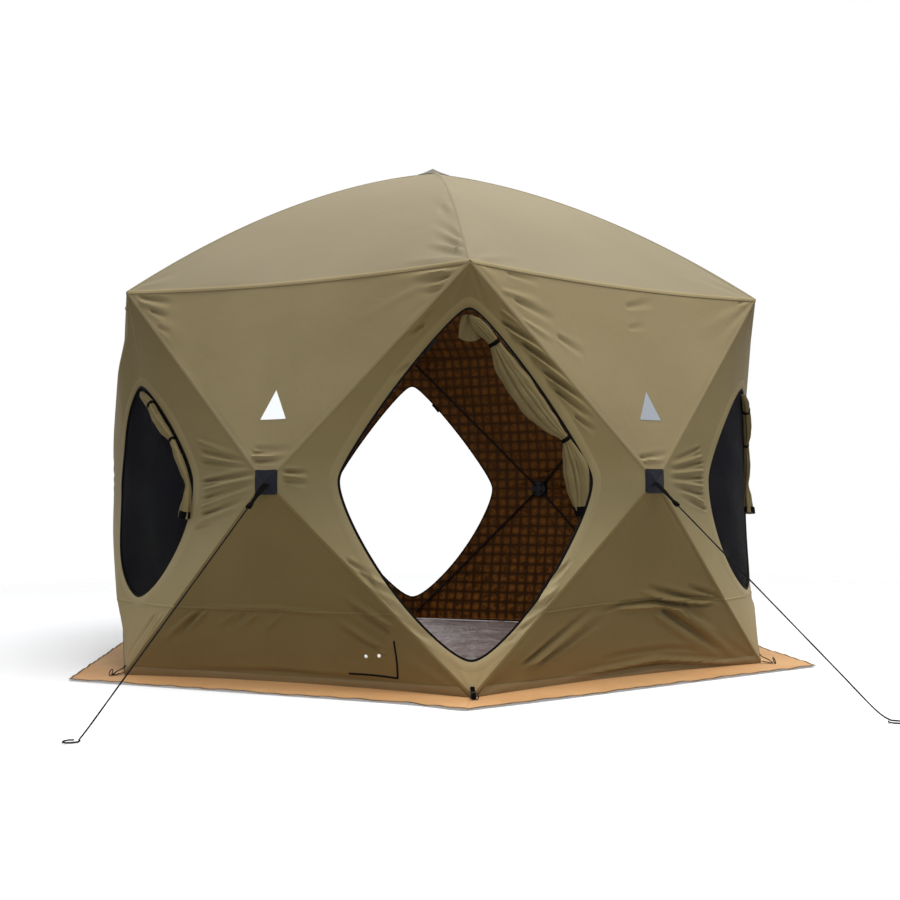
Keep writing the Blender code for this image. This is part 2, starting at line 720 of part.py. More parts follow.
def build_roof_rods(workshop, collection, material):
    """Bowed rods, each with its origin on its pin in the roof hub."""
    points = roof_rod_points()
    pin, ball = points[0], points[-1]
    start = (points[1] - points[0]).normalized()
    place = frame_from(pin, start, Vector((1, 0, 0)))
    curve = bpy.data.curves.new("roof_rod_path", "CURVE")
    curve.dimensions = "3D"
    curve.bevel_depth = ROD_RADIUS
    curve.bevel_resolution = 1
    curve.use_fill_caps = True
    spline = curve.splines.new("POLY")
    path = [pin + start * EYE_REACH] + points[1:]
    spline.points.add(len(path) - 1)
    for target, point in zip(spline.points, path):
        target.co = (*(place.inverted() @ point), 1)
    holder = add_object("roof_rod_path", curve, workshop.collection)
    bpy.context.view_layer.update()
    depsgraph = bpy.context.evaluated_depsgraph_get()
    mesh = bpy.data.meshes.new_from_object(holder.evaluated_get(depsgraph))
    bm = bmesh.new()
    bm.from_mesh(mesh)
    bmesh.ops.remove_doubles(bm, verts=bm.verts, dist=MERGE_DISTANCE)
    bpy.data.objects.remove(holder)
    bpy.data.meshes.remove(mesh)
    shaft = workshop.guide("roof_rod_shaft", bm)
    ferrule, eye, tip = rod_ends(workshop, "roof_rod", 0)
    tip.matrix_world = Matrix.Translation(place.inverted() @ ball)
    mesh = workshop.combine("roof_rod", shaft, joined=[ferrule, eye, tip], cut=[pin_hole(workshop)])
    for corner, position in CORNERS.items():
        add_object("roof_rod_" + corner, mesh, collection, material, turned(position) @ place)


def hexagon(radius, sides=SIDES):
    step = 2 * math.pi / sides
    return [Vector((radius * math.sin(i * step), -radius * math.cos(i * step), 0)) for i in range(sides)]


def build_skirt(collection, material):
    """The snow skirt, a flat ring on the ground that the walls stand on."""
    inner, outer = hexagon(CORNER_RADIUS - SKIRT_TUCK), hexagon(SKIRT_RADIUS)
    bm = bmesh.new()
    grid(bm, [inner + inner[:1], outer + outer[:1]])
    bmesh.ops.remove_doubles(bm, verts=bm.verts, dist=MERGE_DISTANCE)
    extrude_up(bm, SKIRT_THICKNESS)
    add_object("ground_skirt", mesh_of("ground_skirt", bm), collection, material)


def build_floor(collection, material):
    bm = bmesh.new()
    edge = hexagon(CORNER_RADIUS - SKIRT_TUCK - SEAT_GAP)
    bm.faces.new([bm.verts.new(point) for point in edge])
    extrude_up(bm, FLOOR_THICKNESS)
    add_object("floor_mat", mesh_of("floor_mat", bm), collection, material)


def extrude_up(bm, height):
    new = bmesh.ops.extrude_face_region(bm, geom=bm.faces[:], use_keep_orig=True)
    for vertex in (item for item in new["geom"] if isinstance(item, bmesh.types.BMVert)):
        vertex.co.z += height


def guy_route():
    """The rope's own points in the frame of its wall: taut from the strap, then an eye on the ground."""
    start, run = strap_axis()
    head = start + run * (STRAP_LENGTH + SEAT_GAP)
    low = GUY_DIAMETER / 2
    foot = Vector((0, -GUY_REACH, low))
    route = [head.lerp(foot, share) for share in (0, 0.02, 0.2, 0.4, 0.6, 0.8, 0.96)]
    centre = foot + Vector((0, -GUY_LOOP_SETBACK, 0))
    for degrees in range(GUY_LOOP_STEP, 361 - GUY_LOOP_STEP, GUY_LOOP_STEP):
        angle = math.radians(degrees)
        offset = Vector((math.sin(angle), math.cos(angle), 0)) * GUY_LOOP_RADIUS
        route.append(centre + offset)
    return route


def smooth_route(route, count):
    """Points at even spacing along a smooth curve through the route."""
    ends = [route[0] * 2 - route[1]] + route + [route[-1] * 2 - route[-2]]
    fine = []
    for i in range(1, len(ends) - 2):
        before, first, second, after = ends[i - 1:i + 3]
        for j in range(24):
            t = j / 24
            bend = 2 * before - 5 * first + 4 * second - after
            twist = -before + 3 * first - 3 * second + after
            fine.append((2 * first + (second - before) * t + bend * t**2 + twist * t**3) / 2)
    fine.append(route[-1])
    lengths = [0]
    for first, second in zip(fine, fine[1:]):
        lengths.append(lengths[-1] + (second - first).length)
    points = []
    index = 0
    for step in range(count):
        target = lengths[-1] * step / (count - 1)
        while index < len(fine) - 2 and lengths[index + 1] < target:
            index += 1
        share = (target - lengths[index]) / (lengths[index + 1] - lengths[index])
        points.append(fine[index].lerp(fine[index + 1], share))
    return points


def build_guy_ropes(collection, material):
    for wall in GUYED_WALLS:
        curve = bpy.data.curves.new("guy_rope", "CURVE")
        curve.dimensions = "3D"
        curve.bevel_depth = GUY_DIAMETER / 2
        curve.bevel_resolution = 2
        curve.use_fill_caps = True
        curve.materials.append(material)
        points = smooth_route(guy_route(), GUY_POINTS)
        spline = curve.splines.new("POLY")
        spline.points.add(len(points) - 1)
        for target, point in zip(spline.points, points):
            target.co = (*point, 1)
        item = bpy.data.objects.new("guy_rope_" + wall, curve)
        item.matrix_world = turned(WALLS[wall])
        collection.objects.link(item)


def slider_line(panel):
    """The zip slider's rest place on the door panel, its straight clear run and its outward side."""
    start = edge_point(door_reach, SLIDER_START, ZIP_MARGIN)
    end = edge_point(door_reach, SLIDER_END, ZIP_MARGIN)
    travel = (end - start).length
    run = (end - start).normalized()
    outward = Vector((0, -1, 0))
    outward = (outward - run * outward.dot(run)).normalized()
    across = run.cross(outward)
    tree = BVHTree.FromPolygons([v.co for v in panel.vertices], [p.vertices for p in panel.polygons])

    def height(along):
        heights = []
        for side in (-SLIDER_WIDTH / 2, 0, SLIDER_WIDTH / 2):
            eye = start + run * along + across * side + outward * FABRIC * 5
            heights.append((tree.ray_cast(eye, -outward)[0] - start).dot(outward))
        return max(heights)

    half = SLIDER_LENGTH / 2
    seat = max(height(half * i / 4) for i in range(-4, 5))
    steps = [travel * i / 60 for i in range(1, 61)]
    slope = max((height(half + step) - seat) / step for step in steps)
    run = (run + outward * slope).normalized()
    outward = (outward - run * outward.dot(run)).normalized()
    return start + outward * (seat + SLIDER_CLEARANCE), run * travel, outward


def build_zip_sliders(workshop, collection, material, panel):
    start, run, outward = slider_line(panel)
    place = frame_from(start, outward, run)
    bm = bmesh.new()
    box(bm, (SLIDER_LENGTH, SLIDER_WIDTH, SLIDER_THICKNESS), Matrix.Translation((0, 0, SLIDER_THICKNESS / 2)))
    body = workshop.guide("zip_slider_body", bm)
    bm = bmesh.new()
    lift = SLIDER_THICKNESS - PULL_THICKNESS / 2
    middle = Matrix.Translation((SLIDER_LENGTH / 4 + PULL_LENGTH / 2, 0, lift))
    box(bm, (PULL_LENGTH, PULL_WIDTH, PULL_THICKNESS), middle)
    tab = workshop.guide("zip_pull_tab", bm)
    mesh = workshop.combine("zip_slider", body, joined=[tab])
    for corner in DOOR_CORNERS:
        matrix = turned(CORNERS[corner]) @ place
        add_object("zip_slider_" + corner, mesh, collection, material, matrix)


def main():
    clear_scene()
    tent = new_collection("hub_tent")
    workshop = Workshop(new_collection("cutters"))

    khaki = make_material("khaki_fabric", KHAKI, 0.75)
    roof_khaki = make_material("roof_fabric", ROOF_KHAKI, 0.70)
    plastic = make_material("black_plastic", BLACK_PLASTIC, 0.45)
    mesh_net = make_material("black_mesh", BLACK_MESH, 0.80)
    rod_black = make_material("rod_glass_fibre", BLACK_ROD, 0.35)
    tan = make_material("tan_skirt", TAN, 0.70)
    floor_grey = make_material("floor_sheet", FLOOR_GREY, 0.50)
    rope = make_material("black_rope", ROPE_BLACK, 0.80)
    zinc = make_material("zinc_slider", ZINC, 0.35, 1.0)

    build_roof_cover(tent, roof_khaki)
    wall_mesh = build_wall_mesh(workshop)
    for wall, position in WALLS.items():
        add_object("wall_panel_" + wall, wall_mesh, tent, khaki, turned(position))

    roll = roll_guide(
        workshop, door_reach, DOOR_ROLL_RADIUS, DOOR_ROLL_BESIDE, DOOR_ROLL_PROUD, DOOR_ROLL_END
    )
    door_mesh = build_corner_mesh(workshop, "door_corner", door_reach, roll)
    roll = roll_guide(
        workshop, window_reach, WINDOW_ROLL_RADIUS, WINDOW_ROLL_BESIDE, WINDOW_ROLL_PROUD, WINDOW_ROLL_END
    )
    window_panel = build_corner_mesh(workshop, "window_corner", window_reach, roll)
    net = build_window_mesh()
    for corner, position in CORNERS.items():
        matrix = turned(position)
        if corner in DOOR_CORNERS:
            add_object("door_panel_" + corner, door_mesh, tent, khaki, matrix)
        else:
            add_object("window_panel_" + corner, window_panel, tent, khaki, matrix)
            add_object("window_mesh_" + corner, net, tent, mesh_net, matrix)

    build_wall_hubs(workshop, tent, plastic)
    build_wall_rods(workshop, tent, rod_black)
    build_roof_hub(workshop, tent, plastic)
    build_roof_rods(workshop, tent, rod_black)
    build_skirt(tent, tan)
    build_floor(tent, floor_grey)
    build_guy_ropes(tent, rope)
    build_zip_sliders(workshop, tent, zinc, door_mesh)


main()
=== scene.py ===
# %% [markdown]
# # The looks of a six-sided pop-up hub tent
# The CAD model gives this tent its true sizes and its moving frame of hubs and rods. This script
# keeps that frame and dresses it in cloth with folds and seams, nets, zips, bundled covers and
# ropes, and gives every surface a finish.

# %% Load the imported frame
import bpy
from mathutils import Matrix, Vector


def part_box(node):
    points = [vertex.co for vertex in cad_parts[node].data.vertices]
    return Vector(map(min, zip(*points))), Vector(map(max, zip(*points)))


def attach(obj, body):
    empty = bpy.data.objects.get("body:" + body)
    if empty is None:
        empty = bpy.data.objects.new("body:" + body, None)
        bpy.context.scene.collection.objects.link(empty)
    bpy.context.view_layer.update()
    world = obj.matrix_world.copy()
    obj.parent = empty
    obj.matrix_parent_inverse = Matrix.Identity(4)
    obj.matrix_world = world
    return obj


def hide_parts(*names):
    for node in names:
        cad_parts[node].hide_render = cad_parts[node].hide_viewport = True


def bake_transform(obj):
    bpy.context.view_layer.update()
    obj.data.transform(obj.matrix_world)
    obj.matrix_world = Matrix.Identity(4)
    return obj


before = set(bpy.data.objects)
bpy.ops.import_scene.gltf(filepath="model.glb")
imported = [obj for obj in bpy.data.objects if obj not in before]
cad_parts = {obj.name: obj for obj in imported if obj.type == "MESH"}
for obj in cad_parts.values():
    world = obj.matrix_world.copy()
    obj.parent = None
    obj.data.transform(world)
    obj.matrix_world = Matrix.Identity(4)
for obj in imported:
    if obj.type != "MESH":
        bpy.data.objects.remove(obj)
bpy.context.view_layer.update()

import math
import random
from functools import partial

import bpy
import numpy as np
from mathutils import Matrix, Vector

# %% [markdown]
# The photograph was taken low and close, a little left of the front corner. The camera is set up
# from its place, the way that it looks and a slight roll. Its lens follows from how many pixels
# one metre covers at one metre.

# %% The camera at the photograph's viewpoint
CAMERA_PLACE = Vector((-0.5032, -5.7785, 0.6796))
CAMERA_FORWARD = Vector((0.09962, 0.99413, 0.04223)).normalized()
CAMERA_ROLL = math.radians(-0.275)
PHOTO_WIDTH = 900
FOCAL_PIXELS = 1235.2
SENSOR_WIDTH = 36

right = CAMERA_FORWARD.cross(Vector((0, 0, 1))).normalized()
up = right.cross(CAMERA_FORWARD)
rolled_right = right * math.cos(CAMERA_ROLL) + up * math.sin(CAMERA_ROLL)
rolled_up = up * math.cos(CAMERA_ROLL) - right * math.sin(CAMERA_ROLL)
camera_data = bpy.data.cameras.new("photo_camera")
camera_data.sensor_width = SENSOR_WIDTH
camera_data.lens = SENSOR_WIDTH * FOCAL_PIXELS / PHOTO_WIDTH
camera = bpy.data.objects.new("photo_camera", camera_data)
bpy.context.scene.collection.objects.link(camera)
turn = Matrix((rolled_right, rolled_up, -CAMERA_FORWARD)).transposed()
camera.matrix_world = Matrix.Translation(CAMERA_PLACE) @ turn.to_4x4()
bpy.context.scene.camera = camera
print("lens", round(camera_data.lens, 2), "mm")

# %% [markdown]
# Every sewn panel is described by a formula, the same one that shaped its CAD solid. The sizes are
# the CAD model's own: six corners on a circle, six hubs pushed out between them, and an apex over
# the middle. Each panel is worked out facing the -Y direction and then turned to its place in
# sixths of a full turn.

# %% The tent's own sizes and the places of its walls and corners
TURN = math.radians(60)
CORNER_RADIUS = 1.50
CORNER_HEIGHT = 1.53
APEX_HEIGHT = 2.237
RAFTER_STRAIGHTNESS = 0.47
EAVE_SAG = 0.022
HUB_HEIGHT = 0.755
HUB_PUSH_OUT = 0.150
CORNER_SAG = 0.086
FOOT_HEIGHT = 0.0033
WALL_HALF_WIDTH = CORNER_RADIUS * math.sin(TURN / 2)
WALL_DISTANCE = CORNER_RADIUS * math.cos(TURN / 2)
HUB_DISTANCE = WALL_DISTANCE + HUB_PUSH_OUT
PANEL_HALF_WIDTH = HUB_DISTANCE * math.sin(TURN / 2)
UPPER_RISE = CORNER_HEIGHT - HUB_HEIGHT
LOWER_RISE = HUB_HEIGHT - FOOT_HEIGHT
WALLS = {
    "front_right": 0.5, "right": 1.5, "back_right": 2.5,
    "back_left": 3.5, "left": 4.5, "front_left": 5.5,
}
CORNERS = {
    "front": 0, "right_front": 1, "right_back": 2,
    "back": 3, "left_back": 4, "left_front": 5,
}
DOOR_CORNERS = ("front", "back")
WINDOW_CORNERS = [corner for corner in CORNERS if corner not in DOOR_CORNERS]
GUYED_WALLS = ("front_left", "front_right")
SIDES = {"left": -1, "right": 1}


def turned(points, position):
    """Points turned about the middle of the tent, counted in sixths of a turn."""
    angle = position * TURN
    spin = np.array([
        [math.cos(angle), -math.sin(angle), 0],
        [math.sin(angle), math.cos(angle), 0],
        [0, 0, 1],
    ])
    return np.asarray(points, float) @ spin.T


def stack(x, y, z):
    return np.stack(np.broadcast_arrays(x, y, z), axis=-1).astype(float)


def pair(first, second):
    return np.stack([first, second], axis=1)


def unit(vectors):
    return vectors / np.linalg.norm(vectors, axis=-1, keepdims=True)


def soft_step(value):
    inside = np.clip(value, 0, 1)
    return inside * inside * (3 - 2 * inside)


def level_of(z):
    """A height counted from the hub: -1 at the foot, 1 at the eave."""
    return np.where(z > HUB_HEIGHT, (z - HUB_HEIGHT) / UPPER_RISE, (z - HUB_HEIGHT) / LOWER_RISE)


def kind_of(corner):
    return "door" if corner in DOOR_CORNERS else "window"


def beside(places, position, side):
    """The wall or corner half a sixth to the right (1) or left (-1), seen from outside."""
    return list(places)[int((position + 0.5 * side) % 6)]


# %% [markdown]
# A roof gore hangs between two bowed rods. A wall is two triangles that meet at its hub. A corner
# panel is a diamond between two hubs, a smooth saddle that is widest at hub height. Each formula
# gives the smooth cloth and the direction that points out of it, which folds and trims use later.

# %% The smooth shapes of the three kinds of panel
HUB_SOFTNESS = 0.10


def rod_fall(share):
    """How far a bowed rod has come down from the apex, as a share of its whole fall."""
    return RAFTER_STRAIGHTNESS * share + (1 - RAFTER_STRAIGHTNESS) * share**2


def roof_shape(across, share):
    """A gore facing -Y: share 0 at the apex and 1 at the eave, across -1 to 1."""
    height = APEX_HEIGHT + (CORNER_HEIGHT - APEX_HEIGHT) * rod_fall(share)
    height = height - EAVE_SAG * share**3 * (1 - across**2)
    radius = CORNER_RADIUS * share
    points = stack(radius * math.sin(TURN / 2) * across, -radius * math.cos(TURN / 2), height)
    slope = RAFTER_STRAIGHTNESS + 2 * (1 - RAFTER_STRAIGHTNESS) * share
    steep = slope * (APEX_HEIGHT - CORNER_HEIGHT) / WALL_DISTANCE
    return points, unit(stack(np.zeros_like(steep), -steep, np.ones_like(steep)))


def wall_shape(across, level):
    """A wall facing -Y: level -1 at the ground, 0 at the hub and 1 at the eave."""
    share = np.abs(level)
    distance = WALL_DISTANCE + HUB_PUSH_OUT * (1 - share)
    sag = EAVE_SAG * share * (1 - across**2)
    height = np.where(
        level > 0, HUB_HEIGHT + UPPER_RISE * share - sag, HUB_HEIGHT - LOWER_RISE * share,
    )
    lean = np.where(level > 0, HUB_PUSH_OUT / UPPER_RISE, -HUB_PUSH_OUT / LOWER_RISE)
    points = stack(WALL_HALF_WIDTH * share * across, -distance, height)
    return points, unit(stack(np.zeros_like(lean), -np.ones_like(lean), lean))


def corner_points(x, level):
    share = np.abs(level)
    chord = CORNER_RADIUS * share + HUB_DISTANCE * math.cos(TURN / 2) * (1 - share)
    ridge = CORNER_RADIUS - CORNER_SAG * (1 - share**2)
    along = np.where(share > 1 - 1e-5, 0, x / np.maximum(1 - share, 1e-6))
    distance = chord + (ridge - chord) * (1 - along**2)
    kink = CORNER_RADIUS - HUB_DISTANCE * math.cos(TURN / 2) - 2 * CORNER_SAG
    soft = kink * HUB_SOFTNESS * np.exp(-share / HUB_SOFTNESS)
    distance = distance - soft * along**2 * (1 - along**6)
    height = HUB_HEIGHT + np.where(level > 0, UPPER_RISE, LOWER_RISE) * level
    return stack(x * PANEL_HALF_WIDTH, -distance, height)


def corner_shape(x, level):
    """A corner panel facing -Y: x from -1 to 1 between two hubs, level -1 to 1 from the ground."""
    inside, step = 0.98, 0.004
    x_in, level_in = x * inside, level * inside
    side = corner_points(x_in + step, level_in) - corner_points(x_in - step, level_in)
    rise = corner_points(x_in, level_in + step) - corner_points(x_in, level_in - step)
    return corner_points(x, level), unit(np.cross(side, rise))


# %% [markdown]
# Cloth that is held at a few points shows it: folds run out from every hub and corner, and they
# fade towards the middle of the panel. A fold is a long ridge with a shallow valley on each side.
# Cloth simulation could find such folds by itself, but here they are placed where the
# photograph shows them, so plain formulas are quicker and surer.

# %% Folds, fans of folds and soft waves
def fold(x, z, line, height, width):
    """One fold along a line of two points, or along an arc of more points that runs across."""
    if len(line) > 4:
        order = np.argsort(line[0::2])
        xs, zs = np.array(line[0::2])[order], np.array(line[1::2])[order]
        inside = np.clip((x - xs[0]) / (xs[-1] - xs[0]), 0, 1)
        across = z - np.interp(x, xs, zs)
        swell = np.sin(np.pi * inside)**0.7
    else:
        x0, z0, x1, z1 = line
        length = math.hypot(x1 - x0, z1 - z0)
        along = ((x - x0) * (x1 - x0) + (z - z0) * (z1 - z0)) / length**2
        across = ((x - x0) * (z1 - z0) - (z - z0) * (x1 - x0)) / length
        inside = np.clip(along, 0, 1)
        swell = 1.25 * soft_step(inside / 0.16) * (1 - inside)**0.75
        width = width * (0.7 + 0.8 * inside)
    ridge = (1 - 1.4 * (across / width)**2) * np.exp(-((across / width)**2))
    return height * swell * ridge


def listed(folds, side=1, wider=1.3, taller=1.3):
    """Folds of a list, mirrored where side is -1, from millimetres to metres."""
    for *line, height, width in folds:
        line = [number * (1 if i % 2 else side) / 1000 for i, number in enumerate(line)]
        yield line, height * taller / 1000, width * wider / 1000


def fan(x, z, start, end, count, reach, height, width, seed):
    """Folds that run out from a point between two directions, given in degrees."""
    rng = random.Random(seed)
    for i in range(count):
        direction = math.radians(start + (end - start) * (i + rng.uniform(0.25, 0.75)) / count)
        length = reach * rng.uniform(0.55, 1.0)
        dx, dz = math.cos(direction) * length, math.sin(direction) * length
        begin = rng.uniform(0.02, 0.12)
        tall = height * rng.uniform(0.5, 1.0) * rng.choice((1, 1, -1))
        yield (x + dx * begin, z + dz * begin, x + dx, z + dz), tall, width * rng.uniform(0.7, 1.3)


def waves(x, z, height, length, seed):
    """Soft unevenness of the cloth, the sum of a few broad waves in chance directions."""
    rng = random.Random(seed)
    total = np.zeros_like(x)
    for _ in range(7):
        angle = rng.uniform(0, math.pi)
        pitch = length * rng.uniform(0.6, 1.6)
        phase = rng.uniform(0, 2 * math.pi)
        run = x * math.cos(angle) + z * math.sin(angle)
        total += np.sin(run * 2 * math.pi / pitch + phase)
    return height * total / 7


def with_folds(total, x, z, folds):
    for line, height, width in folds:
        total = total + fold(x, z, line, height, width)
    return total


# %% [markdown]
# The folds that the photograph shows are kept in lists: the points of each fold, its height and
# its width, all in millimetres, with a height below zero for a valley. The panels that the
# photograph doesn't show take the same folds, mirrored. Seams are held by the rods, so the relief
# fades out before it reaches them, and neighbours still meet.

# %% The relief of the walls
SEAM_STIFFNESS = 0.026
WALL_FOLDS = {
    "front_left": [
        (735, 1519, 475, 1509, -6, 12), (685, 1481, 552, 1457, -7, 9), (667, 1501, 526, 1486, 5, 9),
        (658, 1435, 585, 1418, -5, 8), (664, 1452, 562, 1438, 4, 8), (603, 1378, 503, 1275, 4, 12),
        (-701, 1508, -520, 1466, -7, 9), (-632, 1450, -529, 1405, -6, 8),
        (-686, 1482, -535, 1439, 5, 9), (-583, 1377, -502, 1340, -4, 8),
        (-73, 882, 100, 871, -3, 8), (-85, 849, 93, 851, 5, 8), (-79, 864, 94, 853, -3, 8),
        (-73, 831, 80, 838, -5, 8), (-374, 274, -538, 149, 6, 9), (-352, 267, -498, 154, -5, 8),
        (-315, 277, -417, 195, 6, 9), (-189, 274, -282, 212, 5, 9), (-92, 272, -179, 212, 5, 9),
        (13, 276, -84, 194, 5, 10), (-144, 274, -234, 202, -4, 9), (433, 160, 230, 261, 7, 10),
        (405, 149, 232, 235, -6, 9), (474, 237, 269, 349, 6, 10), (460, 209, 281, 317, -6, 9),
        (433, 139, 291, 215, 5, 9),
        (-443, 281, -222, 287, -11, 291, 133, 284, 260, 276, 386, 279, 3, 8),
        (-458, 42, -40, 55, 230, 48, 465, 42, -4, 8),
    ],
    "front_right": [
        (-582, 1408, -386, 1343, -5, 11), (-397, 1286, -267, 1220, -4, 11),
        (-633, 1432, -451, 1405, 3, 10), (-558, 1335, -401, 1263, 4, 9),
        (-22, 1426, 148, 1462, -3, 12), (-23, 1342, 70, 1358, -2, 10),
        (636, 1503, 703, 1522, -5, 8), (-83, 841, 97, 855, -4, 8), (-72, 829, 83, 841, 4, 8),
        (-599, 1502, -437, 1482, -4, 9), (99, 276, 516, 72, -13, 13), (245, 251, 448, 150, 8, 10),
        (163, 279, 581, 50, 7, 10), (234, 282, 351, 232, -6, 8), (60, 257, 366, 95, 5, 10),
        (-528, 85, -210, 272, 9, 10), (-554, 92, -252, 282, -8, 9), (-483, 85, -176, 247, -6, 9),
        (-215, 272, -86, 296, 83, 299, 222, 279, 332, 266, 482, 272, -9, 8),
        (-127, 279, 87, 279, 279, 249, 7, 8), (20, 359, 154, 327, 275, 301, 472, 282, -8, 8),
        (-8, 337, 126, 304, 239, 286, 459, 267, 8, 8), (243, 349, 411, 307, 478, 276, -6, 8),
        (-356, 27, -191, 47, 127, 72, 324, 50, 650, 12, 8, 9),
        (-281, 8, -160, 27, 130, 43, 380, 22, 620, 3, -8, 9),
        (-170, 90, -19, 105, 196, 109, 369, 87, -4, 10),
    ],
}
FOLDS_LIKE = {
    "front_left": ("front_left", 1), "front_right": ("front_right", 1),
    "left": ("front_left", -1), "right": ("front_right", -1),
    "back_left": ("front_right", 1), "back_right": ("front_left", 1),
}
FINE_WALLS = ("front_left", "front_right")
WALL_FANS = (
    (-1, CORNER_HEIGHT, -44, 0.50, 0.0025), (1, CORNER_HEIGHT, 184, 0.50, 0.0025),
    (-1, FOOT_HEIGHT, 4, 0.45, 0.003), (1, FOOT_HEIGHT, 136, 0.45, 0.003),
)
WALL_FAN_SPREAD, WALL_FAN_WIDTH = 40, 0.024
WALL_SEAM_SLOPE = 0.72


def wall_relief(wall, points):
    """How far the cloth of a wall stands off its smooth shape."""
    x, z = points[..., 0], points[..., 2]
    number = sorted(WALLS).index(wall)
    like, side = FOLDS_LIKE[wall]
    folds = list(listed(WALL_FOLDS[like], side, 1.5 if wall in FINE_WALLS else 1.8, 1.55))
    for i, (end, height, start, reach, tall) in enumerate(WALL_FANS):
        folds += fan(
            end * WALL_HALF_WIDTH, height, start, start + WALL_FAN_SPREAD,
            3, reach, tall, WALL_FAN_WIDTH, number * 10 + i,
        )
    to_seam = (WALL_HALF_WIDTH * np.abs(level_of(z)) - np.abs(x)) * WALL_SEAM_SLOPE
    eave = CORNER_HEIGHT - EAVE_SAG * (1 - (x / WALL_HALF_WIDTH)**2)
    to_edge = np.where(z > HUB_HEIGHT, eave - z, z - FOOT_HEIGHT)
    total = with_folds(waves(x, z, 0.004, 0.45, number + 40), x, z, folds)
    return total * soft_step(np.minimum(to_seam, to_edge) / SEAM_STIFFNESS)


# %% The relief of the corner panels
CORNER_FOLDS = {
    "door": [
        (110, 1324, 279, 1232, -9, 8), (182, 1257, 377, 1127, -10, 9), (137, 1290, 314, 1194, 7, 8),
        (261, 1159, 483, 1013, -10, 9), (216, 1213, 424, 1077, 7, 8), (311, 1089, 463, 984, -9, 8),
        (280, 1125, 464, 1022, 6, 8), (391, 994, 477, 934, -6, 8), (110, 1361, 229, 1285, 5, 8),
        (-660, 795, -568, 783, -6, 8), (-659, 777, -569, 772, 6, 8), (-659, 758, -568, 747, -5, 8),
        (-156, 1309, -215, 1263, -5, 8), (-208, 1170, -271, 1115, -4, 9),
        (-131, 1373, -225, 1269, 4, 10), (226, 299, 280, 336, -6, 8), (177, 231, 253, 266, -6, 8),
        (128, 191, 177, 203, -5, 8), (247, 373, 316, 421, -5, 8), (254, 329, 301, 365, 5, 8),
        (-237, 249, -136, 196, -7, 8), (-234, 246, -143, 164, 6, 8), (-396, 415, -246, 263, 7, 9),
        (-353, 423, -235, 344, 6, 8), (-408, 426, -239, 309, -7, 8), (-464, 485, -311, 326, -6, 9),
        (-229, 241, -75, 81, -6, 9), (-440, 480, -330, 410, -8, 9), (-400, 435, -262, 352, -10, 9),
        (-380, 380, -211, 277, -10, 9), (-335, 340, -164, 235, -11, 9),
        (-290, 292, -127, 200, -10, 9), (-385, 405, -240, 315, 6, 9), (-350, 350, -190, 255, 6, 9),
        (377, 470, 232, 334, -8, 9), (345, 360, 184, 258, -10, 9), (290, 300, 150, 205, -9, 9),
        (330, 380, 200, 292, 6, 9),
    ],
    "window": [
        (403, 760, 692, 789, -10, 8), (418, 730, 686, 774, 8, 8), (401, 693, 670, 753, -8, 8),
        (400, 662, 660, 732, 7, 8), (394, 632, 638, 695, -11, 8), (387, 605, 598, 662, 6, 8),
        (369, 583, 474, 603, -5, 8), (392, 882, 654, 824, -6, 8), (394, 836, 673, 810, -6, 8),
        (378, 920, 584, 858, 4, 8), (393, 860, 664, 815, 5, 8), (205, 261, 28, 32, 5, 9),
        (163, 258, -12, 59, -4, 9), (-390, 834, -643, 798, -7, 8), (-393, 801, -645, 783, 7, 8),
        (-395, 770, -637, 767, -8, 8), (-397, 735, -628, 752, 7, 8), (-396, 703, -600, 733, -8, 8),
        (-393, 672, -574, 715, 7, 8), (-376, 643, -535, 692, -7, 8), (-403, 860, -630, 813, 6, 8),
        (-415, 893, -627, 829, -5, 8),
    ],
}
FINE_CORNERS = ("front", "left_front", "right_front")
CORNER_FANS = ((CORNER_HEIGHT, 240, 300, 0.30), (FOOT_HEIGHT, 55, 125, 0.22))
CORNER_SEAM_SLOPE = 0.53
LEFT_FULLNESS, LEFT_FULL_FROM, LEFT_FULL_FADE = 0.036, 0.20, 0.08


def corner_relief(corner, points):
    """How far the cloth of a corner panel stands off its smooth shape."""
    x, z = points[..., 0], points[..., 2]
    number = sorted(CORNERS).index(corner)
    folds = list(listed(CORNER_FOLDS[kind_of(corner)], 1, 1.3 if corner in FINE_CORNERS else 1.6))
    for i, (height, start, end, reach) in enumerate(CORNER_FANS):
        folds += fan(0, height, start, end, 3, reach, 0.003, 0.014, number * 10 + 102 + i)
    to_seam = (1 - np.abs(x) / PANEL_HALF_WIDTH - np.abs(level_of(z))) * CORNER_SEAM_SLOPE
    total = with_folds(waves(x, z, 0.003, 0.40, number + 60), x, z, folds)
    if corner == "left_front":
        far = soft_step(-x / LEFT_FULL_FROM)
        full = LEFT_FULLNESS * (1 - 0.4 * np.exp(-((z - HUB_HEIGHT) / 0.15)**2))
        total = total * (1 - 0.8 * far) + full * far * soft_step(to_seam / LEFT_FULL_FADE)
    return total * soft_step(to_seam / SEAM_STIFFNESS)


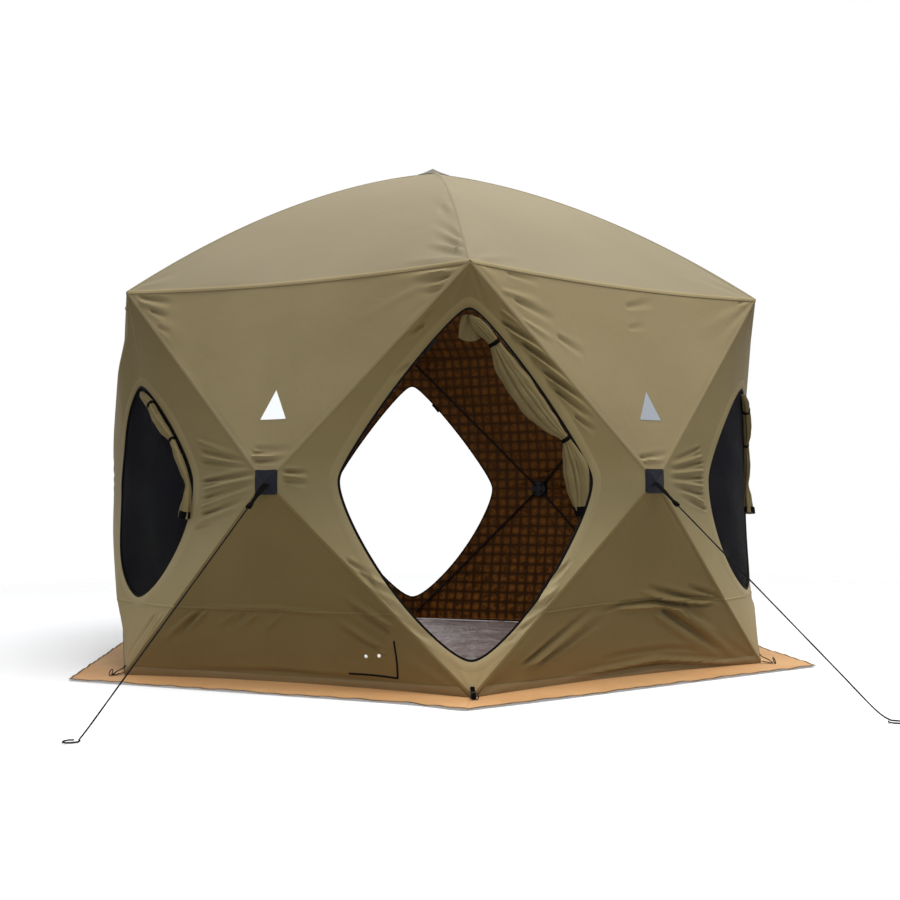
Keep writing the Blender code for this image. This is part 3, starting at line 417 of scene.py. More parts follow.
# %% The relief of the roof
ROOF_FOLDS = {
    "front_left": [
        (662, 1170, 466, 997, -8, 9), (695, 1224, 526, 1134, -8, 9), (674, 1196, 523, 1074, 6, 8),
        (719, 1267, 516, 1185, -7, 9), (702, 1241, 519, 1158, 6, 8), (743, 1299, 461, 1254, 7, 10),
        (733, 1299, 451, 1295, -7, 10), (429, 853, 598, 1078, -4, 13), (520, 939, 334, 686, 4, 14),
        (-716, 1297, -450, 1290, -5, 11), (-716, 1273, -544, 1228, 4, 11),
    ],
    "front_right": [
        (-708, 1299, -560, 1299, -5, 9), (-698, 1278, -451, 1209, 4, 10),
        (684, 1273, 522, 1200, -4, 12),
    ],
}
ROOF_FANS = ((-1, 274), (1, 182))
ROOF_FAN_SPREAD, ROOF_FAN_WIDTH = 84, 0.022
ROOF_DIP, ROOF_DIP_RADIUS, ROOF_DIP_WIDTH = 0.010, 0.17, 0.07


def roof_relief(wall, points):
    x, out = points[..., 0], -points[..., 1]
    number = sorted(WALLS).index(wall)
    like, side = FOLDS_LIKE[wall]
    folds = list(listed(ROOF_FOLDS[like], side, 2.0, 0.85))
    for i, (end, start) in enumerate(ROOF_FANS):
        folds += fan(
            end * WALL_HALF_WIDTH, WALL_DISTANCE, start, start + ROOF_FAN_SPREAD,
            4, 0.40, 0.0025, ROOF_FAN_WIDTH, number * 10 + 200 + i,
        )
    to_seam = (out * math.tan(TURN / 2) - np.abs(x)) * math.cos(TURN / 2)
    total = with_folds(waves(x, out, 0.005, 0.5, number + 80), x, out, folds)
    total = total - ROOF_DIP * np.exp(-((np.hypot(x, out) - ROOF_DIP_RADIUS) / ROOF_DIP_WIDTH)**2)
    return total * soft_step(np.minimum(to_seam, WALL_DISTANCE - out) / SEAM_STIFFNESS)


# %% The cloth with its relief
def surface(shape, relief, places, name, across, level, lift=0.0):
    """Points on the cloth of a panel in the row frame, lifted off it by a length in metres."""
    points, outward = shape(across, level)
    return turned(points + outward * (relief(name, points) + lift)[..., None], places[name])


wall_surface = partial(surface, wall_shape, wall_relief, WALLS)
corner_surface = partial(surface, corner_shape, corner_relief, CORNERS)
roof_surface = partial(surface, roof_shape, roof_relief, WALLS)
for title, lists in (("wall", WALL_FOLDS), ("corner", CORNER_FOLDS), ("roof", ROOF_FOLDS)):
    print(title, "folds listed", sum(len(folds) for folds in lists.values()))

# %% [markdown]
# The door and the windows are diamonds with rounded tips, and their edges belly out, below hub
# height more than above it. This formula gives how far such an opening reaches from the middle
# of its panel in any direction, so cloth, zip and net all use the same edge. It has no closed
# answer, so a guess is scaled until it fits.

# %% The edges of the openings
OPENINGS = {
    "door": {
        "width": 0.915, "sill": 0.128, "top": 1.362, "rounding": 0.055, "fullness": (1.12, 1.33),
    },
    "window": {
        "width": 0.720, "sill": 0.312, "top": 1.148, "rounding": 0.10, "fullness": (1.26, 1.60),
    },
}
REACH_STEPS = 40
EDGE_STEP = 0.02


def opening_reach(angle, width, sill, top, rounding, fullness):
    upper = np.sin(angle) > 0
    power = np.where(upper, *fullness)
    tall = np.where(upper, (top - HUB_HEIGHT) / UPPER_RISE, (HUB_HEIGHT - sill) / LOWER_RISE)
    across = np.cos(angle) / (width / 2 / PANEL_HALF_WIDTH)
    rise = np.sin(angle) / tall
    whole = ((1 + rounding**2)**(power / 2) + rounding**power)**(1 / power)
    reach = np.full_like(angle, 0.5)
    for _ in range(REACH_STEPS):
        size = np.hypot(reach * across, rounding)**power + np.hypot(reach * rise, rounding)**power
        reach = reach * whole / size**(1 / power)
    return reach


def reach_of(corner, angle):
    """The reach of a corner's opening. The left window is narrower on its far side."""
    reach = opening_reach(np.asarray(angle, float), **OPENINGS[kind_of(corner)])
    if corner == "left_front":
        far, rise = np.minimum(np.cos(angle), 0), np.sin(angle)
        high, low = np.maximum(rise, 0), np.minimum(rise, 0)
        reach = reach * (1 - 0.28 * far**2 - 0.5 * (far * high)**2 - 0.25 * (far * low)**2)
    return reach


def near_edge(corner, angle, beyond, lift=0.0):
    """Points on a corner panel, at a length outside the opening's edge, or inside below zero."""
    reach = reach_of(corner, angle)
    here, further = (
        corner_points(size * np.cos(angle), size * np.sin(angle))
        for size in (reach, reach + EDGE_STEP)
    )
    stretch = np.linalg.norm(further - here, axis=-1) / EDGE_STEP
    radius = reach + beyond / stretch
    return corner_surface(corner, radius * np.cos(angle), radius * np.sin(angle), lift)


print("openings", OPENINGS)

# %% [markdown]
# A colour alone never looks like cloth. The effects that several materials share are node groups:
# a plain weave, and the slow fading, dust and creases of cloth that stands in the sun. They read
# the cloth's own UV map, which is in metres, so that the pattern stays on the cloth when a wall
# snaps in. The dust low down is tinted red-orange, which also paints the glow that the orange
# skirt throws on the walls.

# %% Helpers for node groups and materials
def start_group(name, inputs, outputs):
    group = bpy.data.node_groups.new(name, "ShaderNodeTree")
    for label, kind, value in inputs:
        socket = group.interface.new_socket(label, in_out="INPUT", socket_type=kind)
        if value is not None:
            socket.default_value = value
    for label, kind in outputs:
        group.interface.new_socket(label, in_out="OUTPUT", socket_type=kind)
    return group, group.nodes.new("NodeGroupInput"), group.nodes.new("NodeGroupOutput")


def put(tree, socket, value):
    """Join an output to a socket, or set the socket to a number or a colour."""
    if isinstance(value, bpy.types.NodeSocket):
        tree.links.new(value, socket)
    else:
        socket.default_value = (*value, 1) if isinstance(value, tuple) else value


def add(tree, kind, inputs=(), **settings):
    """Add a node with its settings and inputs, given by number or by name. Gives its outputs."""
    node = tree.nodes.new("ShaderNode" + kind)
    for name, value in settings.items():
        setattr(node, name, value)
    for socket, value in inputs.items() if isinstance(inputs, dict) else enumerate(inputs):
        put(tree, node.inputs[socket], value)
    return node.outputs


def compute(tree, operation, *values):
    return add(tree, "Math", values, operation=operation)[0]


def noise(tree, vector, scale, detail=3.0, roughness=0.5, distortion=0.0):
    return add(tree, "TexNoise", {
        "Vector": vector, "Scale": scale, "Detail": detail, "Roughness": roughness,
        "Distortion": distortion,
    })["Fac"]


def spread(tree, value, low, high, to_low=0.0, to_high=1.0):
    return add(tree, "MapRange", (value, low, high, to_low, to_high))[0]


def mix_colour(tree, share, first, second, kind="MIX"):
    return add(tree, "Mix", {0: share, 6: first, 7: second}, data_type="RGBA", blend_type=kind)[2]


def use_group(tree, group, **values):
    return add(tree, "Group", values, node_tree=group)


def coordinates(tree, kind):
    return add(tree, "TexCoord")[kind]


def axes(tree, kind):
    return add(tree, "SeparateXYZ", (coordinates(tree, kind),))


def start_material(name, roughness, metallic=0.0, sheen=0.0, specular=0.5):
    material = bpy.data.materials.new(name)
    material.use_nodes = True
    tree = material.node_tree
    shader = tree.nodes["Principled BSDF"]
    shader.inputs["Roughness"].default_value = roughness
    shader.inputs["Metallic"].default_value = metallic
    shader.inputs["Sheen Weight"].default_value = sheen
    shader.inputs["Specular IOR Level"].default_value = specular
    return material, tree, shader


def glow(shader, colour=None):
    """Let a finish shine, in a colour of its own or in the one that is joined to it."""
    if colour:
        shader.inputs["Emission Color"].default_value = (*colour, 1)
    shader.inputs["Emission Strength"].default_value = 1.0


def dress(tree, shader, colour, height, distance, strength):
    """Give a material its colour and its fine relief."""
    put(tree, shader.inputs["Base Color"], colour)
    relief = {"Distance": distance, "Strength": strength, "Height": height}
    put(tree, shader.inputs["Normal"], add(tree, "Bump", relief)["Normal"])


# %% The plain weave
VECTOR, FLOAT = "NodeSocketVector", "NodeSocketFloat"
weave, weave_in, weave_out = start_group(
    "plain_weave", [("Vector", VECTOR, None), ("Threads", FLOAT, 700.0)], [("Height", FLOAT)],
)
turns = compute(weave, "MULTIPLY", weave_in.outputs["Threads"], math.pi)
split = add(weave, "SeparateXYZ", (weave_in.outputs["Vector"],))
warp, weft = (
    compute(weave, "SINE", compute(weave, "MULTIPLY", split[axis], turns)) for axis in "XY"
)
crossing = compute(weave, "MULTIPLY", warp, weft)
put(weave, weave_out.inputs["Height"], compute(weave, "MULTIPLY_ADD", crossing, 0.5, 0.5))
print("made group", weave.name)

# %% Fading, dust with the skirt's painted glow, and creases
weather, weather_in, weather_out = start_group(
    "fading_and_creases",
    [("Vector", VECTOR, None), ("Place", VECTOR, None)],
    [("Fade", FLOAT), ("DustAndSkirtGlow", FLOAT), ("Creases", FLOAT)],
)
flat, place = weather_in.outputs["Vector"], weather_in.outputs["Place"]
fade = noise(weather, place, 1.7, 4.0, 0.55, 0.3)
put(weather, weather_out.inputs["Fade"], spread(weather, fade, 0.32, 0.68))
# Dust near the ground; the shell cloth tints it red-orange, which also paints the skirt's glow on
# the walls.
low = spread(weather, add(weather, "SeparateXYZ", (place,))["Z"], 0.30, 0.0)
speckle = noise(weather, place, 14.0, 5.0, 0.65)
put(weather, weather_out.inputs["DustAndSkirtGlow"], compute(weather, "MULTIPLY", low, speckle))
large = noise(weather, flat, 9.0, 3.0, 0.5, 0.6)
small = noise(weather, flat, 46.0, 3.0, 0.6, 0.4)
put(weather, weather_out.inputs["Creases"], compute(weather, "MULTIPLY_ADD", small, 0.25, large))
print("made group", weather.name)

# %% [markdown]
# The tent's shell is coated polyester, one khaki for everything, in lit and shaded copies: the
# roof's copy is greyer, a painted sheen of the sky, and the lower walls' copy is darker, painted
# shade, because they see less sky. The corner panels and zip flaps take a paler copy, darkened
# with painted shade higher up, where they lean out. The valleys of the folds get painted shade
# too. Its weave only shows close up, so from further away the slow fading and the small creases
# carry the surface.

# %% The khaki shell cloth
# Painted shade by height for the corner panels and zip flaps: each stop gives a height and the
# factors that the colour is multiplied by there.
SHADE_RAMP_TOP = 2.0
HEIGHT_SHADE_STOPS = (
    (0.15, 1.00, 1.00, 1.00), (0.40, 0.95, 0.95, 0.94), (0.58, 0.82, 0.82, 0.80),
    (0.72, 0.66, 0.66, 0.63), (0.86, 0.555, 0.535, 0.46), (1.00, 0.55, 0.52, 0.43),
    (1.20, 0.505, 0.475, 0.38), (1.43, 0.435, 0.39, 0.30),
)
VALLEY_DEEP, VALLEY_EDGE, VALLEY_SHADE = -0.012, -0.0015, 0.72
# Dust colour, made red-orange so that it also paints the glow thrown up by the orange skirt.
DUST_AND_SKIRT_GLOW = (0.30, 0.17, 0.09)


def painted_height_shade(tree, colour):
    """Painted shade: the colour made darker higher up, where the cloth leans out and sees less sky.
    """
    ramp = tree.nodes.new("ShaderNodeValToRGB")
    stops = ramp.color_ramp.elements
    for number, (height, *tone) in enumerate(HEIGHT_SHADE_STOPS):
        stop = stops[number] if number < 2 else stops.new(height / SHADE_RAMP_TOP)
        stop.position = height / SHADE_RAMP_TOP
        stop.color = (*tone, 1)
    share = compute(tree, "MULTIPLY", axes(tree, "Object")["Z"], 1 / SHADE_RAMP_TOP)
    put(tree, ramp.inputs[0], share)
    return mix_colour(tree, 1.0, colour, ramp.outputs[0], "MULTIPLY")


def woven(tree, deep, pale, threads_height):
    """Faded colour and woven relief of a coated cloth, with the group that they come from."""
    flat = coordinates(tree, "UV")
    aged = use_group(tree, weather, Vector=flat, Place=coordinates(tree, "Object"))
    threads = use_group(tree, weave, Vector=flat, Threads=620.0)["Height"]
    grain = compute(tree, "MULTIPLY_ADD", threads, threads_height, aged["Creases"])
    return mix_colour(tree, aged["Fade"], deep, pale), grain, aged


def shell_cloth(name, pale, deep, roughness, height_shaded=False):
    material, tree, shader = start_material(name, roughness, sheen=0.05, specular=0.18)
    colour, grain, aged = woven(tree, deep, pale, 0.06)
    if height_shaded:
        colour = painted_height_shade(tree, colour)
    # Painted shade: the valleys of the folds are multiplied darker.
    relief = add(tree, "Attribute", attribute_name="relief")["Fac"]
    shade = spread(tree, relief, VALLEY_DEEP, VALLEY_EDGE, VALLEY_SHADE, 1.0)
    colour = mix_colour(tree, 1.0, colour, shade, "MULTIPLY")
    # Dust low down, its red-orange tint also painting the glow from the skirt.
    dust_and_skirt_glow = mix_colour(tree, compute(tree, "MULTIPLY", aged["DustAndSkirtGlow"], 0.25), colour, DUST_AND_SKIRT_GLOW)
    rough = spread(tree, aged["Fade"], 0, 1, roughness - 0.04, roughness + 0.04)
    put(tree, shader.inputs["Roughness"], rough)
    dress(tree, shader, dust_and_skirt_glow, grain, 0.004, 0.55)
    return material


# Painted sheen: the roof's copy of the khaki is greyer, standing in for the sky's sheen on it.
roof_cloth_painted_sheen = shell_cloth("roof_cloth_painted_sheen", (0.262, 0.219, 0.134), (0.234, 0.194, 0.113), 0.66)
wall_cloth = shell_cloth("wall_cloth", (0.330, 0.262, 0.136), (0.291, 0.227, 0.111), 0.70)
# Painted shade: the lower walls get a darker copy of the khaki.
lower_cloth_painted_shade = shell_cloth("lower_wall_cloth_painted_shade", (0.226, 0.165, 0.064), (0.194, 0.139, 0.050), 0.72)
# Painted shade: the corner panels and zip flaps take a paler copy of the khaki, darkened higher up
# by the height ramp.
corner_cloth_painted_shade = shell_cloth("corner_cloth_painted_shade", (0.455, 0.368, 0.190), (0.405, 0.322, 0.157), 0.70, True)
seam_cloth = shell_cloth("seam_tape", (0.262, 0.205, 0.105), (0.235, 0.180, 0.088), 0.74)
flap_cloth_painted_shade = shell_cloth("flap_cloth_painted_shade", (0.500, 0.408, 0.220), (0.445, 0.356, 0.185), 0.68, True)
cover_cloth = shell_cloth("cover_cloth", (0.238, 0.186, 0.082), (0.164, 0.122, 0.048), 0.72)
cap_cloth = shell_cloth("cap_cloth", (0.165, 0.147, 0.118), (0.135, 0.119, 0.093), 0.66)
hem_cloth = shell_cloth("skirt_hem", (0.250, 0.155, 0.070), (0.170, 0.105, 0.048), 0.75)
print("shell cloths", roof_cloth_painted_sheen.name, wall_cloth.name, lower_cloth_painted_shade.name)

# %% [markdown]
# Inside, the shell is quilted to a brown lining in small squares. Two families of stitched lines
# cross, found from the UV map, and the padding swells between them. The squares are rust brown in
# the middle, no two quite the same.

# %% The quilted lining
QUILT_CELL = 0.054
STITCH_BROWN = (0.076, 0.032, 0.010)
DARK_RUST, PALE_RUST = (0.106, 0.044, 0.011), (0.460, 0.178, 0.030)
lining, tree, shader = start_material("quilted_lining", 0.70, specular=0.12)
flat = axes(tree, "UV")
lines = []
for axis in "XY":
    swing = compute(tree, "SINE", compute(tree, "MULTIPLY", flat[axis], math.pi / QUILT_CELL))
    lines.append(compute(tree, "ABSOLUTE", swing))
pillow = compute(tree, "POWER", compute(tree, "MULTIPLY", *lines), 0.7)
mottle = noise(tree, coordinates(tree, "UV"), 24.0, 4.0, 0.65, 0.8)
low_down = spread(tree, axes(tree, "Object")["Z"], 0.9, 0.1, 0.44, 1.0)
rust = compute(tree, "MULTIPLY", spread(tree, mottle, 0.36, 0.60), pillow)
brown = mix_colour(tree, compute(tree, "MULTIPLY", rust, low_down), DARK_RUST, PALE_RUST)
stitched = mix_colour(tree, spread(tree, pillow, 0.08, 0.65), STITCH_BROWN, brown)
dress(tree, shader, stitched, pillow, 0.005, 0.7)
print("quilt cells of", QUILT_CELL, "m")

# %% Net, skirt and floor
net_cloth, tree, shader = start_material("window_net", 0.8, specular=0.03)
shader.inputs["Alpha"].default_value = 0.90
flat = coordinates(tree, "UV")
holes = use_group(tree, weave, Vector=flat, Threads=420.0)["Height"]
drift = spread(tree, noise(tree, flat, 2.6, 2.0), 0.38, 0.62)
threads = mix_colour(tree, drift, (0.012, 0.010, 0.016), (0.028, 0.031, 0.029))
dress(tree, shader, mix_colour(tree, holes, (0.004, 0.004, 0.006), threads), holes, 0.001, 0.5)

skirt_cloth, tree, shader = start_material("tan_skirt_cloth", 0.62, specular=0.2)
orange, grain, _ = woven(tree, (0.67, 0.360, 0.148), (0.80, 0.470, 0.215), 0.05)
dress(tree, shader, orange, grain, 0.004, 0.6)

floor_cloth, tree, shader = start_material("floor_sheet", 0.34)
flat = coordinates(tree, "UV")
# The sheet's rosy grey varies at random in broad patches, and its pale patches are painted
# highlights, standing in for light streaks on its glossy wrinkles.
painted_streak_share = spread(tree, noise(tree, flat, 4.0, 4.0), 0.35, 0.65)
rosy_with_painted_streaks = mix_colour(tree, painted_streak_share, (0.350, 0.272, 0.262), (0.850, 0.715, 0.720))
dress(tree, shader, rosy_with_painted_streaks, noise(tree, flat, 11.0, 4.0, 0.6, 1.5), 0.02, 0.8)


# %% Webbing, zip tape, rope and hard parts
def dark_textile(name, dark, light, roughness, threads, specular=0.05):
    material, tree, shader = start_material(name, roughness, specular=specular)
    flat = coordinates(tree, "UV")
    height = use_group(tree, weave, Vector=flat, Threads=threads)["Height"]
    wear = compute(tree, "MULTIPLY", spread(tree, noise(tree, flat, 55.0, 4.0), 0.35, 0.75), 0.5)
    shade = mix_colour(tree, height, dark, light)
    dress(tree, shader, mix_colour(tree, wear, shade, light), height, 0.0006, 0.8)
    return material


def hard_part(name, colour, roughness, grain, metallic=0.0, specular=0.5):
    material, tree, shader = start_material(name, roughness, metallic, specular=specular)
    speck = noise(tree, coordinates(tree, "Object"), grain, 4.0, 0.6)
    worn = tuple(min(1, c * 1.6 + 0.004) for c in colour)
    rough = spread(tree, speck, 0, 1, roughness - 0.08, roughness + 0.10)
    put(tree, shader.inputs["Roughness"], rough)
    colour = mix_colour(tree, spread(tree, speck, 0.4, 0.75), colour, worn)
    dress(tree, shader, colour, speck, 0.0004, 0.4)
    return material, shader


def reflector(name, colour, roughness, shine):
    material, shader = hard_part(name, colour, roughness, 500.0)
    # Painted glow: the reflective tape shines with light of its own, painting the bright return of
    # its glass beads.
    glow(shader, shine)
    return material


webbing = dark_textile("black_webbing", (0.002,) * 3, (0.006, 0.005, 0.005), 0.8, 520.0, 0.02)
zip_tape = dark_textile("black_zip_tape", (0.003,) * 3, (0.008, 0.007, 0.007), 0.55, 760.0)
patch_cloth = dark_textile(
    "black_patch", (0.005, 0.005, 0.009), (0.013, 0.014, 0.023), 0.42, 640.0, 0.12,
)
rope_braid = dark_textile("black_rope", (0.004,) * 3, (0.012, 0.012, 0.013), 0.7, 330.0)
hub_plastic = hard_part("hub_plastic", (0.012, 0.012, 0.013), 0.42, 240.0)[0]
rod_fibre = hard_part("rod_glass_fibre", (0.010, 0.009, 0.009), 0.55, 130.0, 0.0, 0.12)[0]
slider_metal = hard_part("black_zinc", (0.007,) * 3, 0.60, 300.0, 0.0, 0.06)[0]
ring_steel = hard_part("ring_steel", (0.035, 0.030, 0.028), 0.35, 300.0, 1.0)[0]
white_reflector = reflector("white_reflector", (0.95, 0.97, 0.97), 0.30, (0.30, 0.32, 0.32))
grey_reflector = reflector("grey_reflector", (0.32, 0.345, 0.375), 0.34, (0.03, 0.033, 0.038))
print("materials", len(bpy.data.materials))

# %% [markdown]
# Cloth, tape, tubes and rolls all begin as the same flat grid. Each of its points is moved to where
# a formula wants it, points that fall together are merged, and a thickness is added inward. The
# place on the flat cloth, in metres, goes into the UV map, and how far the folds lift each point
# goes into an attribute, which the cloth's material reads to paint shade into the fold valleys. A
# table says what each kind of cloth piece is made of: its thickness, its material slot, and its
# finish outside and inside.

# %% From a flat grid to a finished piece
MERGE_DISTANCE = 0.00005
SMOOTH_BELOW = math.radians(50)
SHELL_THICKNESS = 0.0025
PATCH_LIFT = 0.0022
PATCH_THICKNESS = PATCH_LIFT + SHELL_THICKNESS + 0.0012
CLOTHS = {
    "gore": (SHELL_THICKNESS, "roof_fabric", roof_cloth_painted_sheen, lining),
    "upper": (SHELL_THICKNESS, "wall_fabric", wall_cloth, lining),
    "lower": (SHELL_THICKNESS, "wall_fabric", lower_cloth_painted_shade, lining),
    "corner": (SHELL_THICKNESS, "wall_fabric", corner_cloth_painted_shade, lining),
    "net": (0.0006, "window_net", net_cloth),
    "zip": (0.0045, "zip_metal", zip_tape),
    "zip_flap": (0.0015, "wall_fabric", flap_cloth_painted_shade),
    "cover_flap": (0.0016, "wall_fabric", cover_cloth),
    "patch": (PATCH_THICKNESS, "guy_cord", patch_cloth),
    "upper_seam": (0.0012, "wall_fabric", wall_cloth),
    "lower_seam": (0.0012, "wall_fabric", lower_cloth_painted_shade),
    "corner_seam": (0.0012, "wall_fabric", corner_cloth_painted_shade),
    "ridge_seam": (0.0012, "roof_fabric", roof_cloth_painted_sheen),
    "wall_hem": (0.0016, "wall_fabric", seam_cloth),
    "port_zip": (0.0016, "zip_metal", zip_tape),
    # Painted glow: the snaps take the glowing white reflector finish.
    "snap": (0.0012, "zip_metal", white_reflector),
    "cap": (0.0018, "roof_fabric", cap_cloth),
    "skirt": (0.0012, "skirt_fabric", skirt_cloth),
    "skirt_hem": (0.0024, "skirt_fabric", hem_cloth),
    "floor": (0.0010, "floor_sheet", floor_cloth),
    "white_triangle": (0.0010, "wall_fabric", white_reflector),
    "grey_triangle": (0.0010, "wall_fabric", grey_reflector),
}


def deselect_all():
    for item in bpy.context.selected_objects:
        item.select_set(False)


def placed_grid(name, columns, rows, place):
    """A grid whose points are moved by place(u, v), which gives points and flat metres."""
    deselect_all()
    bpy.ops.mesh.primitive_grid_add(x_subdivisions=columns, y_subdivisions=rows, size=2)
    item = bpy.context.object
    item.name = name
    mesh = item.data
    mesh.name = name
    start = np.empty(len(mesh.vertices) * 3)
    mesh.vertices.foreach_get("co", start)
    start = start.reshape(-1, 3)
    points, metres, *relief = place(start[:, 0], (start[:, 1] + 1) / 2)
    mesh.vertices.foreach_set("co", np.ascontiguousarray(points, float).ravel())
    corner_of = np.empty(len(mesh.loops), int)
    mesh.loops.foreach_get("vertex_index", corner_of)
    metres = np.ascontiguousarray(metres[corner_of], float)
    mesh.uv_layers[0].data.foreach_set("uv", metres.ravel())
    if relief:
        heights = mesh.attributes.new("relief", "FLOAT", "POINT")
        heights.data.foreach_set("value", np.ascontiguousarray(relief[0], float))
    mesh.update()
    return item


def merge_points(fill=False):
    """Merge the active piece's points that fall together, and close its ends if asked."""
    bpy.ops.object.mode_set(mode="EDIT")
    bpy.ops.mesh.select_all(action="SELECT")
    bpy.ops.mesh.remove_doubles(threshold=MERGE_DISTANCE)
    if fill:
        bpy.ops.mesh.fill_holes(sides=0)
        bpy.ops.mesh.select_all(action="SELECT")
        bpy.ops.mesh.normals_make_consistent(inside=False)
    bpy.ops.object.mode_set(mode="OBJECT")


def cloth(name, kind, columns, rows, place):
    """A sheet with its thickness inward, and its second material on the inner side."""
    thickness, slot, *materials = CLOTHS[kind]
    item = placed_grid(name, columns, rows, place)
    for material in materials:
        item.data.materials.append(material)
    merge_points()
    modifier = item.modifiers.new("thickness", "SOLIDIFY")
    modifier.thickness = thickness
    modifier.offset = -1
    modifier.material_offset = len(materials) - 1
    bpy.ops.object.modifier_apply(modifier=modifier.name)
    bpy.ops.object.shade_smooth_by_angle(angle=SMOOTH_BELOW)
    return item


def flat_of(points, second=2):
    """The place on the flat cloth: across it, and along its other axis."""
    return points[..., [0, second]]


def smooth_area(shape, u, v):
    """The area of a panel, from the corners of a coarse grid over it."""
    points = shape(*np.meshgrid(u, v))
    one = np.cross(points[1:, :-1] - points[:-1, :-1], points[:-1, 1:] - points[:-1, :-1])
    two = np.cross(points[1:, :-1] - points[1:, 1:], points[:-1, 1:] - points[1:, 1:])
    return float((np.linalg.norm(one, axis=-1) + np.linalg.norm(two, axis=-1)).sum() / 2)


# %% [markdown]
# The tent snaps open and shut: each wall hub slides in and out, and the cloth goes with it. Here
# every piece only has its place baked into its mesh, so the cloth stays where it is made. The
# ends of a blend are worked out for corner panels and the roof, the side one reaching a little
# past the hub, but they are not used.

# %% Baking each piece's place into its mesh
BLEND_REACH = 1.08
ROOF_HUB_CLEAR = 0.06


def follow_wall(item, wall):
    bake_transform(item)


def follow_side(item, corner, side):
    """Bake half a corner panel's place into its mesh; the hub beside it and a blend's ends are
    worked out but not used.
    """
    position = CORNERS[corner]
    hub = "wall_hub_" + beside(WALLS, position, side)
    start = turned((0, -WALL_DISTANCE, HUB_HEIGHT), position)
    end = turned((side * PANEL_HALF_WIDTH * BLEND_REACH, -WALL_DISTANCE, HUB_HEIGHT), position)
    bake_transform(item)


def follow_roof(item, position, scale):
    start = turned((0, -CORNER_RADIUS * scale, APEX_HEIGHT), position)
    end = turned((0, -ROOF_HUB_CLEAR * scale, APEX_HEIGHT), position)
    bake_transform(item)


# %% [markdown]
# Ropes, straps, rods and bundles are tubes round a path, whose outline may change on the way.

# %% Tubes along a path
def smooth_route(route, count):
    """Points at even spacing along a smooth curve through the route."""
    route = np.asarray(route, float)
    ends = np.vstack([route[0] * 2 - route[1], route, route[-1] * 2 - route[-2]])
    t = (np.arange(24) / 24)[:, None]
    fine = []
    for before, first, second, after in zip(ends, ends[1:], ends[2:], ends[3:]):
        bend = 2 * before - 5 * first + 4 * second - after
        twist = -before + 3 * first - 3 * second + after
        fine.append((2 * first + (second - before) * t + bend * t**2 + twist * t**3) / 2)
    fine = np.vstack(fine + [route[-1:]])
    lengths = lengths_along(fine)
    at = np.linspace(0, lengths[-1], count)
    return np.stack([np.interp(at, lengths, fine[:, i]) for i in range(3)], axis=1)


def lengths_along(path):
    return np.concatenate([[0], np.cumsum(np.linalg.norm(np.diff(path, axis=0), axis=1))])


def path_frames(path, side):
    """The side and up of a tube at each point of its path, without twist."""
    ahead = unit(np.gradient(path, axis=0))
    sides = []
    for direction in ahead:
        side = unit(side - direction * (side @ direction))
        sides.append(side)
    return np.array(sides), np.cross(ahead, sides)


def tube(name, path, radius, sides, material, side=(0, 0, 1)):
    """A tube along a path. radius(angle, share) gives its outline all the way along."""
    across, up = path_frames(path, np.asarray(side, float))
    lengths = lengths_along(path)

    def place(u, v):
        row = np.rint(v * (len(path) - 1)).astype(int)
        angle = -u * math.pi
        size = radius(angle, v)
        sideways = across[row] * (np.cos(angle) * size)[:, None]
        points = path[row] + sideways + up[row] * (np.sin(angle) * size)[:, None]
        return points, pair(angle * np.mean(size), lengths[row])

    item = placed_grid(name, sides, len(path) - 1, place)
    item.data.materials.append(material)
    merge_points(fill=True)
    bpy.ops.object.shade_smooth_by_angle(angle=SMOOTH_BELOW)
    return item


def band_outline(angle, wide, thick):
    """The outline of flat webbing, a rectangle with rounded corners."""
    return 1 / ((np.abs(np.cos(angle)) / wide)**6 + (np.abs(np.sin(angle)) / thick)**6)**(1 / 6)


# %% [markdown]
# Each guy rope is a black braided cord, taut from the pull strap on a front wall to an eye on the
# ground. The points repeat the CAD model's route.

# %% The guy ropes
PATCH_WIDTH = 0.100
PATCH_SHARE = PATCH_WIDTH / 2 / WALL_HALF_WIDTH
PATCH_DISTANCE = WALL_DISTANCE + HUB_PUSH_OUT * (1 - PATCH_SHARE)
STRAP_LENGTH = 0.150
SEAT_GAP = 0.0003
GUY_SPREAD = 0.981
GUY_REACH = PATCH_DISTANCE + GUY_SPREAD
GUY_DIAMETER = 0.005
GUY_LOOP_RADIUS = 0.024
GUY_LOOP_SETBACK = 0.0384
GUY_LOOP_STEP = 20
strap_start = np.array((0, -PATCH_DISTANCE, HUB_HEIGHT))
strap_run = unit(np.array((0, -GUY_REACH, GUY_DIAMETER)) - strap_start)


def guy_route():
    head = strap_start + strap_run * (STRAP_LENGTH + SEAT_GAP)
    foot = np.array((0, -GUY_REACH, GUY_DIAMETER / 2))
    route = [head + (foot - head) * share for share in (0, 0.02, 0.2, 0.4, 0.6, 0.8, 0.96)]
    centre = foot + np.array((0, -GUY_LOOP_SETBACK, 0))
    for degrees in range(GUY_LOOP_STEP, 361 - GUY_LOOP_STEP, GUY_LOOP_STEP):
        angle = math.radians(degrees)
        route.append(centre + np.array((math.sin(angle), math.cos(angle), 0)) * GUY_LOOP_RADIUS)
    return smooth_route(route, 72)


def braid(angle, share):
    return GUY_DIAMETER / 2 * (1 + 0.06 * np.sin(2 * angle + share * 400))


for wall in GUYED_WALLS:
    path = turned(guy_route(), WALLS[wall])
    length = float(np.linalg.norm(np.diff(path, axis=0), axis=1).sum())
    rope = tube("guy_cord_" + wall, path, braid, 10, rope_braid)
    ends = [strap_start + strap_run * STRAP_LENGTH, (0, -GUY_REACH, GUY_DIAMETER / 2)]
    head, foot = turned(ends, WALLS[wall])
    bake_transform(rope)
    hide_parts("guy_rope_" + wall)
    print(rope.name, round(length, 3), "m")

# %% [markdown]
# The roof is six gores, sewn along the six ridges where the rods run. Each gore is a grid that
# narrows to the apex.

